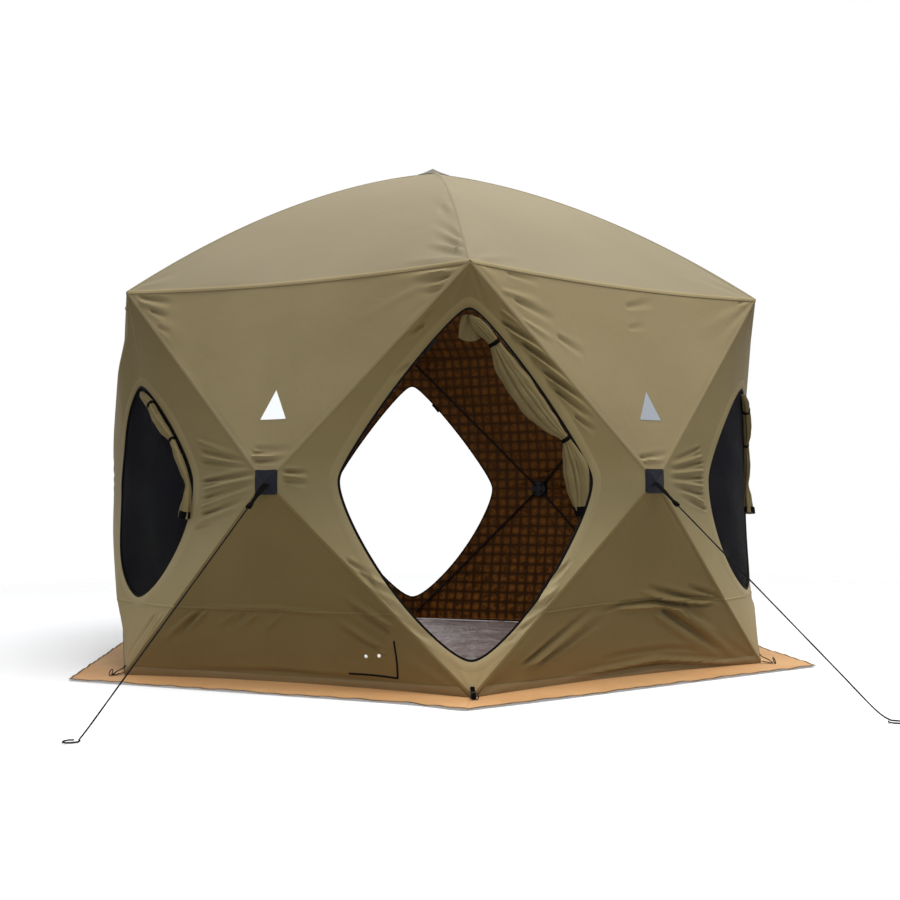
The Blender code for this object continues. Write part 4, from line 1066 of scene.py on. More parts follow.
# %% The six roof gores
ROOF_TIP = 0.012


def fineness(wall):
    """Columns and rows of a wall triangle or gore: fine where the photograph shows it."""
    return (190, 104) if wall in FINE_WALLS else (110, 72)


gore_area = smooth_area(
    lambda u, share: roof_shape(u, share)[0], np.linspace(-1, 1, 13), np.linspace(ROOF_TIP, 1, 25),
)
for wall in WALLS:
    def place(u, v):
        share = ROOF_TIP + (1 - ROOF_TIP) * (1 - v)
        return roof_surface(wall, u, share), flat_of(roof_shape(u, share)[0], 1)

    gore = cloth("roof_gore_" + wall, "gore", *fineness(wall), place)
    follow_roof(gore, WALLS[wall], math.cos(TURN / 2))
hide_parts("roof_cover")

# %% [markdown]
# Each wall is an upper and a lower triangle with their tips at the hub. The upper one leans back
# and catches the light, and the lower one leans in and stays darker; its cloth is also a darker
# copy of the khaki, painted shade.

# %% The wall triangles
HALVES = {"upper": 1, "lower": -1}
WALL_TIP = 1e-4
for wall in WALLS:
    for half, sign in HALVES.items():
        def place(u, v):
            level = v if sign > 0 else v - 1
            level = np.where(np.abs(level) < WALL_TIP, sign * WALL_TIP, level)
            flat = wall_shape(u, level)[0]
            return wall_surface(wall, u, level), flat_of(flat), wall_relief(wall, flat)

        panel = cloth(f"wall_{half}_{wall}", half, *fineness(wall), place)
        follow_wall(panel, wall)
        smooth_area(
            lambda u, level: wall_surface(wall, u, level),
            np.linspace(-1, 1, 97), sign * np.linspace(0.001, 1, 65),
        )
        if sign > 0:
            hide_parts("wall_panel_" + wall)

# %% [markdown]
# A corner panel is a diamond-shaped frame of cloth round its door or window. It is made in a left
# and a right half that meet on the corner's line, one beside each hub.

# %% The corner panels round the openings
EDGE_CROWDING = 1.3
RING_STEPS = {True: (44, 280), False: (30, 180)}


def on_ring(corner, side, u, v):
    """Places between the opening's edge (u -1) and the diamond's outer seam (u 1)."""
    share = (u + 1) / 2
    t = 2 * v - 1
    level = side * np.sign(t) * np.abs(t)**EDGE_CROWDING
    outer_x = side * (1 - np.abs(level))
    angle = np.arctan2(level, outer_x)
    reach = reach_of(corner, angle)
    x = reach * np.cos(angle) * (1 - share) + outer_x * share
    return x, reach * np.sin(angle) * (1 - share) + level * share


corner_area = {}
for corner in CORNERS:
    for side_name, side in SIDES.items():
        def place(u, v):
            x, level = on_ring(corner, side, u, v)
            flat = corner_points(x, level)
            points = corner_surface(corner, x, level)
            return points, flat_of(flat), corner_relief(corner, flat)

        steps = RING_STEPS[corner in FINE_CORNERS]
        panel = cloth(f"corner_{corner}_{side_name}", "corner", *steps, place)
        area = smooth_area(
            lambda u, v: corner_surface(corner, *on_ring(corner, side, u, v)),
            np.linspace(-1, 1, 25), np.linspace(0, 1, 193),
        )
        corner_area[corner] = area
        follow_side(panel, corner, side)
        rod = f"rod_{beside(WALLS, CORNERS[corner], side)}_upper_{'left' if side > 0 else 'right'}"
        if side > 0:
            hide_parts(f"{kind_of(corner)}_panel_{corner}")
print("corner panels", {corner: round(area, 3) for corner, area in corner_area.items()})

# %% [markdown]
# Insect net fills the windows, behind their zips. It is plain black from outside, because the
# tent is dark inside.

# %% The window nets
NET_SINK = 0.003
NET_TUCK = 1.02


def angle_on(side, v):
    """The direction from the middle of a panel, up its right side or down its left side."""
    return (v - 0.5) * math.pi if side > 0 else math.pi / 2 + v * math.pi


for corner in WINDOW_CORNERS:
    for side_name, side in SIDES.items():
        def place(u, v):
            angle = angle_on(side, v)
            reach = reach_of(corner, angle) * NET_TUCK * ((u + 1) / 2)
            x, level = reach * np.cos(angle), reach * np.sin(angle)
            points = corner_surface(corner, x, level, -NET_SINK)
            return points, flat_of(corner_points(x, level))

        net = cloth(f"net_{corner}_{side_name}", "net", 20, 48, place)
        follow_side(net, corner, side)
        edge = place(np.ones(49), np.linspace(0, 1, 49))[1]
        area = smooth_area(
            lambda u, v: place(u, v)[0], np.linspace(-1, 1, 13), np.linspace(0, 1, 49),
        )
        [round(float(size), 3) for size in np.ptp(edge, axis=0)]
        if side > 0:
            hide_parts("window_mesh_" + corner)
print("nets", 2 * len(WINDOW_CORNERS))

# %% [markdown]
# A black zip runs round every opening. It is a flat tape with a raised coil along its middle, so
# the section of this strip is low at its sides and high in the centre. A pale storm flap lies
# along its outer side, a soft ridge that keeps rain off the coil.

# %% Zips round the openings
ZIP_WIDTH = 0.0085
ZIP_RISE = 0.0022
ZIP_STEPS = 132
ZIP_LENGTH = 1.6
FLAP_START = 0.0062
FLAP_WIDTH = 0.036
FLAP_RISE = 0.0032
for corner in CORNERS:
    for side_name, side in SIDES.items():
        def place_zip(u, v):
            lift = np.exp(-(u / 0.35)**2) * ZIP_RISE + 0.0012
            points = near_edge(corner, angle_on(side, v), ZIP_WIDTH * (u * 0.5 + 0.2), lift)
            return points, pair(u * ZIP_WIDTH / 2, v * ZIP_LENGTH)

        def place_flap(u, v):
            share = (u + 1) / 2
            lift = 0.0001 + FLAP_RISE * np.sin(math.pi * (0.22 + 0.78 * share))
            beyond = FLAP_START + FLAP_WIDTH * share
            points = near_edge(corner, angle_on(side, v), beyond, lift)
            return points, pair(share * FLAP_WIDTH, v * ZIP_LENGTH)

        strip = cloth(f"zip_{corner}_{side_name}", "zip", 6, ZIP_STEPS, place_zip)
        follow_side(strip, corner, side)
        flap = cloth(f"zip_flap_{corner}_{side_name}", "zip_flap", 8, ZIP_STEPS, place_flap)
        follow_side(flap, corner, side)
print("zips and flaps", 4 * len(CORNERS))

# %% [markdown]
# The cover of each opening is unzipped, bundled along the upper right edge and held by two ties.
# Bundled cloth isn't a smooth tube: it is wide and flat between its ties, drawn in by them, and
# long creases run all the way along. The lists give the middle of each bundle across and up its
# panel and its half width there, in millimetres; a black cord gathers its lower end. The back
# door's cover is tied back outside, over the cloth, and leaves its whole opening clear.

# %% Bundled covers
ROLL_STEPS = 120
ROLL_FLATNESS = 0.50
ROLL_CORE = 0.004
ROLL_CREASES = 11
ROLLS = {
    "door": {
        "route": (
            (2, 1337, 14), (48, 1294, 26), (89, 1247, 20), (133, 1170, 41), (192, 1085, 52),
            (250, 1014, 48), (303, 958, 34), (358, 908, 16), (386, 846, 38), (404, 784, 47),
            (410, 732, 43), (411, 667, 24), (413, 626, 12),
        ),
        "ties": (2, 7), "proud": -0.35,
    },
    "window": {
        "route": (
            (4, 1128, 12), (60, 1096, 21), (100, 1068, 22), (142, 1020, 27), (194, 970, 25),
            (238, 926, 14), (284, 860, 20), (318, 803, 19), (342, 752, 13), (343, 700, 24),
            (335, 650, 32), (331, 624, 34),
        ),
        "ties": (2, 5), "proud": 0.85,
    },
}
TIED_BACK = "back"
TIED_BACK_SHIFT = 0.105
TIED_BACK_PROUD = 1.4


def on_corner(x, z):
    """Points of a corner panel's smooth surface and its outward direction, from metres."""
    return corner_shape(x / PANEL_HALF_WIDTH, level_of(z))


def creased(angle, share, seed):
    """How much of a bundle's radius its lengthwise creases leave."""
    rng = random.Random(seed)
    left = 1 + 0.03 * np.sin(share * 57 + 2 * angle) + 0.03 * np.sin(share * 31 - 3 * angle)
    for i in range(ROLL_CREASES):
        start = (i + rng.uniform(-0.25, 0.25)) * 2 * math.pi / ROLL_CREASES
        bent = start + rng.uniform(-0.6, 0.6) * share + 0.12 * np.sin(share * 9 + i)
        away = (angle - bent + math.pi) % (2 * math.pi) - math.pi
        left = left - rng.uniform(0.14, 0.36) * np.exp(-(away / rng.uniform(0.10, 0.20))**2)
    return left


for corner, position in CORNERS.items():
    facts = ROLLS[kind_of(corner)]
    stations = np.array(facts["route"]) / 1000
    proud = facts["proud"]
    if corner == TIED_BACK:
        stations[:, :2] += TIED_BACK_SHIFT
        proud = TIED_BACK_PROUD
    fine = smooth_route(stations, ROLL_STEPS + 1)
    wide = fine[:, 2] * np.minimum(1, 0.35 + np.linspace(0, 1, ROLL_STEPS + 1) * 20)
    deep = wide * ROLL_FLATNESS + ROLL_CORE
    points, outward = on_corner(fine[:, 0], fine[:, 1])
    middle = turned(points + outward * (deep * proud)[:, None], position)
    sideways = turned(np.cross(points[1] - points[0], outward[0]), position)
    seed = sorted(CORNERS).index(corner)

    def oval(angle, v, first=0, last=ROLL_STEPS):
        row = first + np.rint(v * (last - first)).astype(int)
        a, b = wide[row], deep[row]
        return a * b / np.hypot(b * np.cos(angle), a * np.sin(angle))

    roll = tube(
        "bundled_cover_" + corner, middle,
        lambda angle, v: oval(angle, v) * creased(angle, v, seed),
        60, cover_cloth, side=sideways,
    )
    follow_side(roll, corner, 1)
    bands = []
    for x, z in stations[list(facts["ties"]), :2]:
        row = int(np.argmin(np.hypot(fine[:, 0] - x, fine[:, 1] - z)))
        bands.append((row - 1, row + 1))
    bands.append((ROLL_STEPS - 5, ROLL_STEPS))
    for number, (first, last) in enumerate(bands):
        strap = tube(
            f"cover_tie_{corner}_{number + 1}", middle[first:last + 1],
            lambda angle, v: oval(angle, v, first, last) * 1.02 + 0.0006,
            28, webbing, side=sideways,
        )
        follow_side(strap, corner, 1)
print("bundled covers", len(CORNERS))


# %% The turned-down flap of the front cover
def place_cover_flap(u, v):
    drop = 1 - v
    x = -0.004 + 0.010 * drop + u * (0.016 + 0.026 * drop**0.5)
    z = 1.342 - 0.080 * drop - 0.014 * drop * (1 - u**2)
    points, outward = on_corner(x, z)
    inward = 0.014 + 0.010 * drop + 0.005 * np.sin(u * 4 + drop * 3)
    points = turned(points - outward * inward[:, None], CORNERS["front"])
    return points, pair(u * 0.040, v * 0.09)


flap = cloth("cover_flap_front", "cover_flap", 24, 24, place_cover_flap)
follow_side(flap, "front", 1)
print("made", flap.name)

# %% [markdown]
# Over each hub a square black patch takes the pull of the strap. The patch is four triangles,
# one on each panel that meets there, so that it bends with them. The strap is drawn tight where a
# guy rope pulls on it, and hangs down on the other walls.

# %% Hub patches
PATCH_SHRINK = 0.90
PATCH_PARTS = {**HALVES, **SIDES}


def patch_quarter(wall, part, sign, u, v):
    size = PATCH_WIDTH / 2
    out = (0.02 + 0.98 * v) * PATCH_SHRINK
    if part in HALVES:
        level = sign * out * PATCH_SHARE * 0.99
        points = wall_surface(wall, u * sign, level, PATCH_LIFT)
    else:
        corner = beside(CORNERS, WALLS[wall], sign)
        x = -sign * (1 - out * size / PANEL_HALF_WIDTH)
        points = corner_surface(corner, x, -sign * u * out * size / UPPER_RISE, PATCH_LIFT)
    return points, pair(u * size * out, v * size)


def hub_patch(wall):
    for part, sign in PATCH_PARTS.items():
        place = partial(patch_quarter, wall, part, sign)
        quarter = cloth(f"hub_patch_{wall}_{part}", "patch", 8, 6, place)
        if part in HALVES:
            follow_wall(quarter, wall)
        else:
            follow_side(quarter, beside(CORNERS, WALLS[wall], sign), -sign)


# %% Pull straps
STRAP_WIDTH = 0.030
STRAP_THICKNESS = 0.0040
HANGING = (
    (0, 0, 0), (0, -0.012, -0.004), (0, -0.019, -0.022),
    (0, -0.018, -0.060), (0, -0.014, -0.100), (0, -0.014, -0.140),
)


def pull_strap(wall, position):
    guyed = wall in GUYED_WALLS
    if guyed:
        route = [strap_start + strap_run * STRAP_LENGTH * i / 20 for i in range(21)]
    else:
        route = smooth_route(strap_start + np.array(HANGING), 31)

    def outline(angle, v):
        knot = soft_step((v - 0.82) / 0.06) * (1.0 if guyed else 0.3)
        narrow = soft_step((v - 0.45) / 0.15) * (1.0 if guyed else 0.0)
        wide, thick = STRAP_WIDTH / 2 * (1 - 0.35 * narrow), STRAP_THICKNESS / 2 * (1 + 2.0 * knot)
        return band_outline(angle, wide, thick)

    strap = tube(
        "pull_strap_" + wall, turned(route, position), outline, 24, webbing,
        side=turned((1, 0, 0), position),
    )
    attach(strap, "wall_hub_" + wall)


for wall, position in WALLS.items():
    hub_patch(wall)
    pull_strap(wall, position)
print("patches and straps", len(WALLS))

# %% [markdown]
# Along every rod the panels are joined by a flat-felled seam, a narrow strip of the same cloth.
# The strip is bent over the seam: one edge lies on the wall, the other on the corner panel.

# %% Seams along the rods
SEAM_HALF = 0.007
SEAM_RISE = 0.0012
SEAM_SLANT = math.hypot(WALL_HALF_WIDTH, UPPER_RISE) / UPPER_RISE


def seam_lift(u):
    return SEAM_RISE * (0.5 + 0.5 * np.cos(u * math.pi / 2)) + 0.0004


def pole_seam(wall, sign, side, u, v):
    corner = beside(CORNERS, WALLS[wall], side)
    share = 0.055 + 0.94 * (v if sign > 0 else 1 - v)
    level, lift = sign * share, seam_lift(u)
    inward = np.abs(u) * SEAM_HALF * SEAM_SLANT
    across = side * (1 - inward / (WALL_HALF_WIDTH * share))
    x = -side * ((1 - share) - inward / PANEL_HALF_WIDTH)
    middle = (
        wall_surface(wall, side * np.ones_like(u), level, lift)
        + corner_surface(corner, -side * (1 - share), level, lift)
    ) / 2
    points = np.where(
        (side * u < 0)[:, None], wall_surface(wall, across, level, lift),
        corner_surface(corner, x, level, lift),
    )
    points = np.where((np.abs(u) < 1e-6)[:, None], middle, points)
    return points, pair(u * SEAM_HALF, v * 1.08)


for wall in WALLS:
    for half, sign in HALVES.items():
        for side_name, side in SIDES.items():
            place = partial(pole_seam, wall, sign, side)
            seam = cloth(f"seam_{wall}_{half}_{side_name}", half + "_seam", 4, 60, place)
            follow_wall(seam, wall)
print("seams", 4 * len(WALLS))


# %% Seams along the ridges and the eaves
for corner, position in CORNERS.items():
    def place(u, v):
        share = 0.045 + 0.955 * (1 - v)
        inward = np.abs(u) * SEAM_HALF / (WALL_HALF_WIDTH * share) / math.cos(TURN / 2)
        lift = seam_lift(u)
        left = roof_surface(beside(WALLS, position, -1), 1 - inward, share, lift)
        right = roof_surface(beside(WALLS, position, 1), -1 + inward, share, lift)
        points = np.where((u < 0)[:, None], left, right)
        return points, pair(u * SEAM_HALF, v * 1.7)

    ridge = cloth("ridge_seam_" + corner, "ridge_seam", 4, 72, place)
    follow_roof(ridge, position, 1.0)

for wall in WALLS:
    def place(u, v):
        across = (1 - v) * 2 - 1
        step = np.abs(u) * SEAM_HALF
        roof_side = roof_surface(wall, across, 1 - step / CORNER_RADIUS, seam_lift(u))
        wall_side = wall_surface(wall, across, 1 - 1.6 * step / UPPER_RISE, 0.0030)
        points = np.where((u > 0)[:, None], roof_side, wall_side)
        points = np.where((np.abs(u) < 1e-6)[:, None], (roof_side + wall_side) / 2, points)
        return points, pair(u * SEAM_HALF, across * WALL_HALF_WIDTH)

    eave = cloth("eave_seam_" + wall, "upper_seam", 4, 72, place)
    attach(eave, "root")
print("ridges", len(CORNERS), "eaves", len(WALLS))

# %% [markdown]
# The lowest part of each wall is a strip of its own, sewn on at shin height, and its foot ends in
# a wide doubled hem. The upper seam carries on across the window panels.

# %% The strips along the feet of the walls
BAND_HEIGHT = 0.284
BAND_HALF = 0.0045
BAND_LIFT = 0.0024
BAND_ARCH = {"front_right": 0.020}
HEM_LOW, HEM_HIGH = 0.005, 0.040
HEM_LIFT = 0.0030
HEM_SPAN = 0.985


def rounded(lift, u):
    return lift * (0.35 + 0.65 * np.cos(u * math.pi / 2))


def foot_strip(wall, low, high, arch, lift, span, u, v):
    """Points of a strip across a lower wall, which may arch towards the middle of the wall."""
    x_share = span * (2 * v - 1)
    height = low + arch * (1 - x_share**2) + (high - low) * (u + 1) / 2
    level = (height - HUB_HEIGHT) / LOWER_RISE
    points = wall_surface(wall, x_share, level, rounded(lift, u))
    return points, pair(height, x_share * WALL_HALF_WIDTH * np.abs(level))


for wall in WALLS:
    low, high, arch = BAND_HEIGHT - BAND_HALF, BAND_HEIGHT + BAND_HALF, BAND_ARCH.get(wall, 0.0)
    place = partial(foot_strip, wall, low, high, arch, BAND_LIFT, 1.0)
    band = cloth("band_seam_" + wall, "lower_seam", 4, 96, place)
    follow_wall(band, wall)
    place = partial(foot_strip, wall, HEM_LOW, HEM_HIGH, 0, HEM_LIFT, HEM_SPAN)
    hem = cloth("wall_hem_" + wall, "wall_hem", 6, 96, place)
    follow_wall(hem, wall)

for corner in WINDOW_CORNERS:
    for side_name, side in SIDES.items():
        def place(u, v):
            height = BAND_HEIGHT + BAND_HALF * u
            level = (height - HUB_HEIGHT) / LOWER_RISE
            x = side * (1 - np.abs(level)) * (v if side < 0 else 1 - v)
            points = corner_surface(corner, x, level, rounded(BAND_LIFT, u))
            return points, pair(height, x * PANEL_HALF_WIDTH)

        band = cloth(f"band_seam_{corner}_{side_name}", "corner_seam", 4, 24, place)
        follow_side(band, corner, side)
print("bands", len(WALLS), "hems", len(WALLS))

# %% [markdown]
# A small port for a cable is let into the front left wall, closed by a zip that runs down and along
# its foot, with two snaps. A cap of grey-brown cloth covers the top of the roof, over the hub.

# %% The cable port
PORT_WALL = "front_left"
PORT_ROUTES = {
    "side": ((0.464, 0.190), (0.468, 0.120), (0.466, 0.056)),
    "foot": ((0.466, 0.056), (0.370, 0.062), (0.270, 0.064)),
}
PORT_STEPS = 40
PORT_HALF = 0.0035
SNAP_RADIUS = 0.0065
SNAP_PLACES = ((0.347, 0.130), (0.399, 0.134))


def wall_at(wall, x, z, lift):
    """Points on a wall's cloth, from metres across it and up."""
    level = level_of(z)
    return wall_surface(wall, x / (WALL_HALF_WIDTH * np.abs(level)), level, lift)


for part, route in PORT_ROUTES.items():
    line = smooth_route([(x, 0, z) for x, z in route], PORT_STEPS + 1)

    def place(u, v):
        row = np.rint(v * PORT_STEPS).astype(int)
        ahead = unit(np.gradient(line, axis=0)[row])
        x = line[row, 0] + ahead[:, 2] * u * PORT_HALF
        z = line[row, 2] - ahead[:, 0] * u * PORT_HALF
        lift = 0.0012 + 0.0014 * np.exp(-(u / 0.4)**2)
        return wall_at(PORT_WALL, x, z, lift), pair(x, z)

    strip = cloth("port_zip_" + part, "port_zip", 4, PORT_STEPS, place)
    follow_wall(strip, PORT_WALL)

for number, (x, z) in enumerate(SNAP_PLACES):
    def place(u, v):
        radius = SNAP_RADIUS * (1 - v * 0.97)
        angle = u * math.pi
        px, pz = x + radius * np.cos(angle), z + radius * np.sin(angle)
        dome = 0.0012 + 0.0030 * (1 - (radius / SNAP_RADIUS)**4)
        return wall_at(PORT_WALL, px, pz, dome), pair(px, pz)

    # The snaps glow with the white reflector's painted light.
    snap = cloth(f"port_snap_{number + 1}", "snap", 32, 8, place)
    follow_wall(snap, PORT_WALL)
print("port parts", len(PORT_ROUTES) + len(SNAP_PLACES))

# %% The cap
CAP_RADIUS = 0.085
CAP_PEAK = 0.020


def place_cap(u, v):
    """The cap follows the six planes of the roof and lies close to them at its edge."""
    angle = -u * math.pi
    radius = CAP_RADIUS * (1 - 0.98 * v)
    share = radius * np.cos(angle % TURN - TURN / 2) / WALL_DISTANCE
    peak = CAP_PEAK * (1 - np.minimum(radius / CAP_RADIUS, 1))**1.5
    lift = 0.0022 - 0.0014 * (radius / CAP_RADIUS)**8
    height = APEX_HEIGHT + (CORNER_HEIGHT - APEX_HEIGHT) * rod_fall(share) + lift + peak
    x, out = radius * np.sin(angle), radius * np.cos(angle)
    return stack(x, -out, height), pair(x, out)


cap = cloth("roof_cap", "cap", 72, 16, place_cap)
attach(cap, "roof_hub")
print("cap", round(2 * CAP_RADIUS, 3), "m")

# %% [markdown]
# A tan skirt lies on the ground all round, where snow or stones hold it down. It is one ring of
# cloth with a brown hem, and it never lies quite flat.

# %% The snow skirt
SKIRT_WIDTH = 0.223
SKIRT_TUCK = 0.012
SKIRT_LENGTH = 9.6
SKIRT_STEPS = 432
FOOT_ARC = 0.014
TIP_SHIFT = 0.050
SKIRT_TOP = 0.003
SKIRT_INNER = CORNER_RADIUS - SKIRT_TUCK
SKIRT_OUTER = CORNER_RADIUS + SKIRT_WIDTH
HEM_WIDTH = 0.010


def hexagon(around, radius):
    """Places on a six-sided ring, around in sixths of a turn, and how far along a side each is."""
    sixth = np.floor(around)
    along = around - sixth
    angle = sixth * TURN
    x = radius * ((1 - along) * np.sin(angle) + along * np.sin(angle + TURN))
    y = -radius * ((1 - along) * np.cos(angle) + along * np.cos(angle + TURN))
    return x, y, along


def skirt_points(around, share, lift=0.0):
    """Points on the skirt: around in sixths of a turn from the front corner, share 0 inside."""
    x, y, along = hexagon(around, SKIRT_INNER + (SKIRT_OUTER - SKIRT_INNER) * share)
    off_tip = np.minimum(around % 6, 6 - around % 6)
    x = x - TIP_SHIFT * share * np.exp(-(off_tip / 0.10)**2)
    y = y - 0.4 * TIP_SHIFT * share * np.exp(-(off_tip / 0.10)**2)
    arc = FOOT_ARC * (4 * along * (1 - along)) * (1 - soft_step(share * 1.6))
    loose = soft_step((share - 0.25) / 0.3)
    ripple = np.sin(around * 41 + 2 * np.sin(around * 13)) * np.cos(share * 4 + around * 9)
    rise = 0.0020 * (1 + ripple) * loose
    rise = rise + 0.0012 * (1 + np.sin(around * 97 + share * 5)) * loose * share
    return stack(x, y, SKIRT_TOP + rise + arc + lift)


def place_skirt(u, v):
    share = (u + 1) / 2
    metres = pair(share * (SKIRT_OUTER - SKIRT_INNER), v * SKIRT_LENGTH)
    return skirt_points(v * 6, share), metres


def place_hem(u, v):
    share = 1 - (1 - u) / 2 * HEM_WIDTH / (SKIRT_OUTER - SKIRT_INNER)
    metres = pair(u * HEM_WIDTH / 2, v * SKIRT_LENGTH)
    return skirt_points(v * 6, share, 0.0009), metres


skirt = cloth("snow_skirt", "skirt", 14, SKIRT_STEPS, place_skirt)
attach(skirt, "root")
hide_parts("ground_skirt")
hem = cloth("skirt_hem", "skirt_hem", 3, SKIRT_STEPS, place_hem)
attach(hem, "root")
print("skirt reach", SKIRT_OUTER, "m")

# %% The floor sheet
FLOOR_RADIUS = CORNER_RADIUS - 0.030 - SEAT_GAP
FLOOR_TOP = 0.004


def place_floor(u, v):
    share = (u + 1) / 2
    x, y, _ = hexagon(v * 6, FLOOR_RADIUS * share)
    rise = np.abs(waves(x, y * 2.2, 0.026, 0.35, 7)) + np.abs(waves(x, y * 2.5, 0.014, 0.14, 8))
    rise = rise * soft_step((1 - share) / 0.1)
    return stack(x, y, FLOOR_TOP * 0.4 + rise), pair(x, y)


ground_sheet = cloth("ground_sheet", "floor", 90, 240, place_floor)
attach(ground_sheet, "root")
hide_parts("floor_mat")
print("floor sheet radius", round(FLOOR_RADIUS, 3), "m")

# %% [markdown]
# Six bowed rods carry the roof. A straight CAD rod can only swing, and a real one flexes when the
# roof snaps down, so each is drawn again as a bowed tube from the hub to the corner.

# %% The bowed roof rods
ROD_RADIUS = 0.0055
ROOF_PIN_CIRCLE = 0.043
PIN_DEPTH = 0.023
BALL_SETBACK = 0.055
BALL_DROP = 0.020
pin_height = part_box("roof_hub")[1].z - PIN_DEPTH
share = np.linspace(0, 1, 61)
radius = ROOF_PIN_CIRCLE + (CORNER_RADIUS - BALL_SETBACK - ROOF_PIN_CIRCLE) * share
height = pin_height + (CORNER_HEIGHT - BALL_DROP - pin_height) * rod_fall(share)
bow = stack(0, -radius, height)


def rod_outline(angle, v):
    ferrule = 0.0013 * soft_step((0.035 - v) / 0.004)
    ball = np.where(v > 0.992, 0.0022, 0)
    return ROD_RADIUS + ferrule + ball


for corner, position in CORNERS.items():
    rod = tube(
        "bowed_rod_" + corner, turned(bow, position), rod_outline, 16, rod_fibre,
    )
    follow_roof(rod, position, 1.0)
    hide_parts("roof_rod_" + corner)
print("bowed rods", len(CORNERS))

# %% [markdown]
# At each bottom corner a black webbing loop with a steel ring takes a peg.

# %% Corner loops with rings
LOOP_OUT = 0.045
LOOP_ROUTE = np.array([
    (0, 0.004, 0.040), (0, -0.006, 0.030), (0, -0.030, 0.020), (0, -LOOP_OUT, 0.010),
    (0, -LOOP_OUT - 0.004, 0.006), (0, -0.030, 0.008), (0, -0.004, 0.012),
]) - (0, CORNER_RADIUS, 0)
RING_PLACE = (0, -(CORNER_RADIUS + LOOP_OUT + 0.010), 0.016)
for corner, position in CORNERS.items():
    deselect_all()
    bpy.ops.mesh.primitive_torus_add(
        major_radius=0.014, minor_radius=0.0022, major_segments=36, minor_segments=12,
        location=RING_PLACE, rotation=(math.radians(70), 0, 0),
    )
    ring = bpy.context.object
    ring.name = "peg_ring_" + corner
    bpy.ops.object.transform_apply(location=True, rotation=True, scale=True)
    ring.data.transform(Matrix.Rotation(position * TURN, 4, "Z"))
    ring.data.materials.append(ring_steel)
    bpy.ops.object.shade_smooth()
    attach(ring, "root")
    loop = tube(
        "peg_loop_" + corner, turned(smooth_route(LOOP_ROUTE, 33), position),
        lambda angle, v: band_outline(angle, 0.0080, 0.0012),
        20, webbing, side=turned((1, 0, 0), position),
    )
    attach(loop, "root")
print("loops", len(CORNERS))

# %% [markdown]
# Two small reflective triangles warn of the ropes at night, one on each front wall.

# %% Reflective triangles
REFLECTOR_BASE = 0.110
REFLECTOR_LOW, REFLECTOR_HIGH = 0.993, 1.105
REFLECTORS = {"front_left": ("white", 0.004), "front_right": ("grey", 0.020)}
for wall, (tone, aside) in REFLECTORS.items():
    def place(u, v):
        height = REFLECTOR_LOW + (REFLECTOR_HIGH - REFLECTOR_LOW) * v
        x = u * (REFLECTOR_BASE / 2 * (1 - v))
        return wall_at(wall, aside + x, height, 0.0012), pair(x, v * 0.1)

    triangle = cloth("reflector_" + wall, tone + "_triangle", 10, 12, place)
    follow_wall(triangle, wall)
print("reflectors", len(REFLECTORS))

# %% [markdown]
# The hubs and wall rods keep their CAD shapes, which are right as they are, and get moulded plastic
# and glass fibre. The corner panels sag a little further in than the CAD plates do, so the zip
# sliders are copies of theirs, set back on to the zips.

# %% Finishes of the hubs, rods and sliders
CAD_CORNER_SAG = 0.07
for corner in DOOR_CORNERS:
    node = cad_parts["zip_slider_" + corner]
    deselect_all()
    slider = node.copy()
    slider.data = node.data.copy()
    slider.name = "slider_" + corner
    bpy.context.scene.collection.objects.link(slider)
    bpy.context.view_layer.objects.active = slider
    slider.select_set(True)
    merge_points()
    low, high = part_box(node.name)
    level = ((low.z + high.z) / 2 - HUB_HEIGHT) / UPPER_RISE
    sink = (CORNER_SAG - CAD_CORNER_SAG) * (1 - level**2) * 0.75
    slider.data.transform(Matrix.Translation(Vector(turned((0, sink, 0), CORNERS[corner]))))
    slider.data.materials.clear()
    slider.data.materials.append(slider_metal)
    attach(slider, "zip_slider_" + corner)
    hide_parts(node.name)
    print(slider.name, "moved in by", round(sink * 1000, 1), "mm")

for name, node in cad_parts.items():
    if not node.hide_render:
        for slot in node.material_slots:
            slot.material = rod_fibre if name.startswith("rod_") else hub_plastic
print("finished nodes", sum(not node.hide_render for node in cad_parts.values()))

# %% [markdown]
# The studio is a pale floor under soft light. The floor shows white to the camera but sends back
# less light than white paper would, because the photograph's lower walls stay dark.

# %% Floor and backdrop
FLOOR_FADE_START = 2.6
FLOOR_FADE_END = 6.5


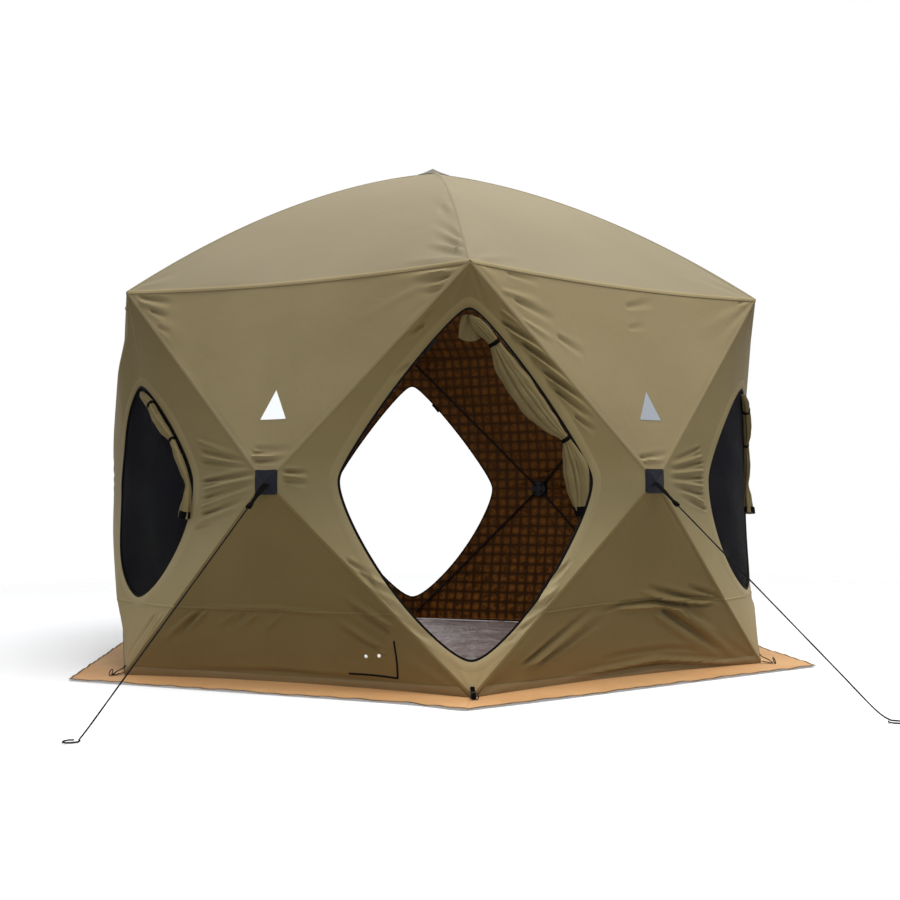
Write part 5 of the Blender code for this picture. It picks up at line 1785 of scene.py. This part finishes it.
def seen_directly(tree):
    """Whether a ray comes from the camera, by itself, off a mirror or through glass."""
    ray = add(tree, "LightPath")
    seen = compute(tree, "MAXIMUM", ray["Is Camera Ray"], ray["Is Glossy Ray"])
    return compute(tree, "MAXIMUM", seen, ray["Is Transmission Ray"])


deselect_all()
bpy.ops.mesh.primitive_plane_add(size=2.2 * FLOOR_FADE_END, location=(0, 0, -0.0025))
ground = bpy.context.object
ground.name = "studio_floor"
floor_material, tree, shader = start_material("studio_floor", 0.9)
seen = seen_directly(tree)
floor_colour = mix_colour(tree, seen, (0.30, 0.29, 0.28), (0.90, 0.90, 0.90))
put(tree, shader.inputs["Base Color"], floor_colour)
put(tree, shader.inputs["Emission Color"], mix_colour(tree, seen, (0, 0, 0), (0.30, 0.30, 0.30)))
glow(shader)
place = axes(tree, "Object")
away = [compute(tree, "MULTIPLY", place[axis], place[axis]) for axis in "XY"]
away = compute(tree, "SQRT", compute(tree, "ADD", *away))
put(tree, shader.inputs["Alpha"], spread(tree, away, FLOOR_FADE_START, FLOOR_FADE_END, 1.0, 0.0))
ground.data.materials.append(floor_material)

world = bpy.data.worlds.new("studio")
bpy.context.scene.world = world
world.use_nodes = True
tree = world.node_tree
background = tree.nodes["Background"]
sky = mix_colour(tree, seen_directly(tree), (0.42, 0.43, 0.45), (1, 1, 1))
put(tree, background.inputs["Color"], sky)
background.inputs["Strength"].default_value = 1.0
print("made", floor_material.name, "floor and world")


# %% Lights
def lamp(name, kind, place, power):
    data = bpy.data.lights.new(name, kind)
    data.energy = power
    item = bpy.data.objects.new(name, data)
    item.location = place
    bpy.context.scene.collection.objects.link(item)
    return item, data


def soft_light(name, place, target, size, power):
    item, data = lamp(name, "AREA", place, power)
    data.shape = "SQUARE"
    data.size = size
    toward = Vector(target) - Vector(place)
    item.rotation_euler = toward.to_track_quat("-Z", "Y").to_euler()


soft_light("top_light", (1.25, -1.9, 7.0), (0, 0, 1), 5.0, 440)
soft_light("front_fill", (-1.0, -8.0, 2.2), (0, 0, 0.8), 4.0, 45)
item, data = lamp("inside_light", "POINT", (0.1, -0.2, 1.35), 16)
data.shadow_soft_size = 0.35
item.visible_camera = False
bpy.context.scene.view_settings.view_transform = "Standard"
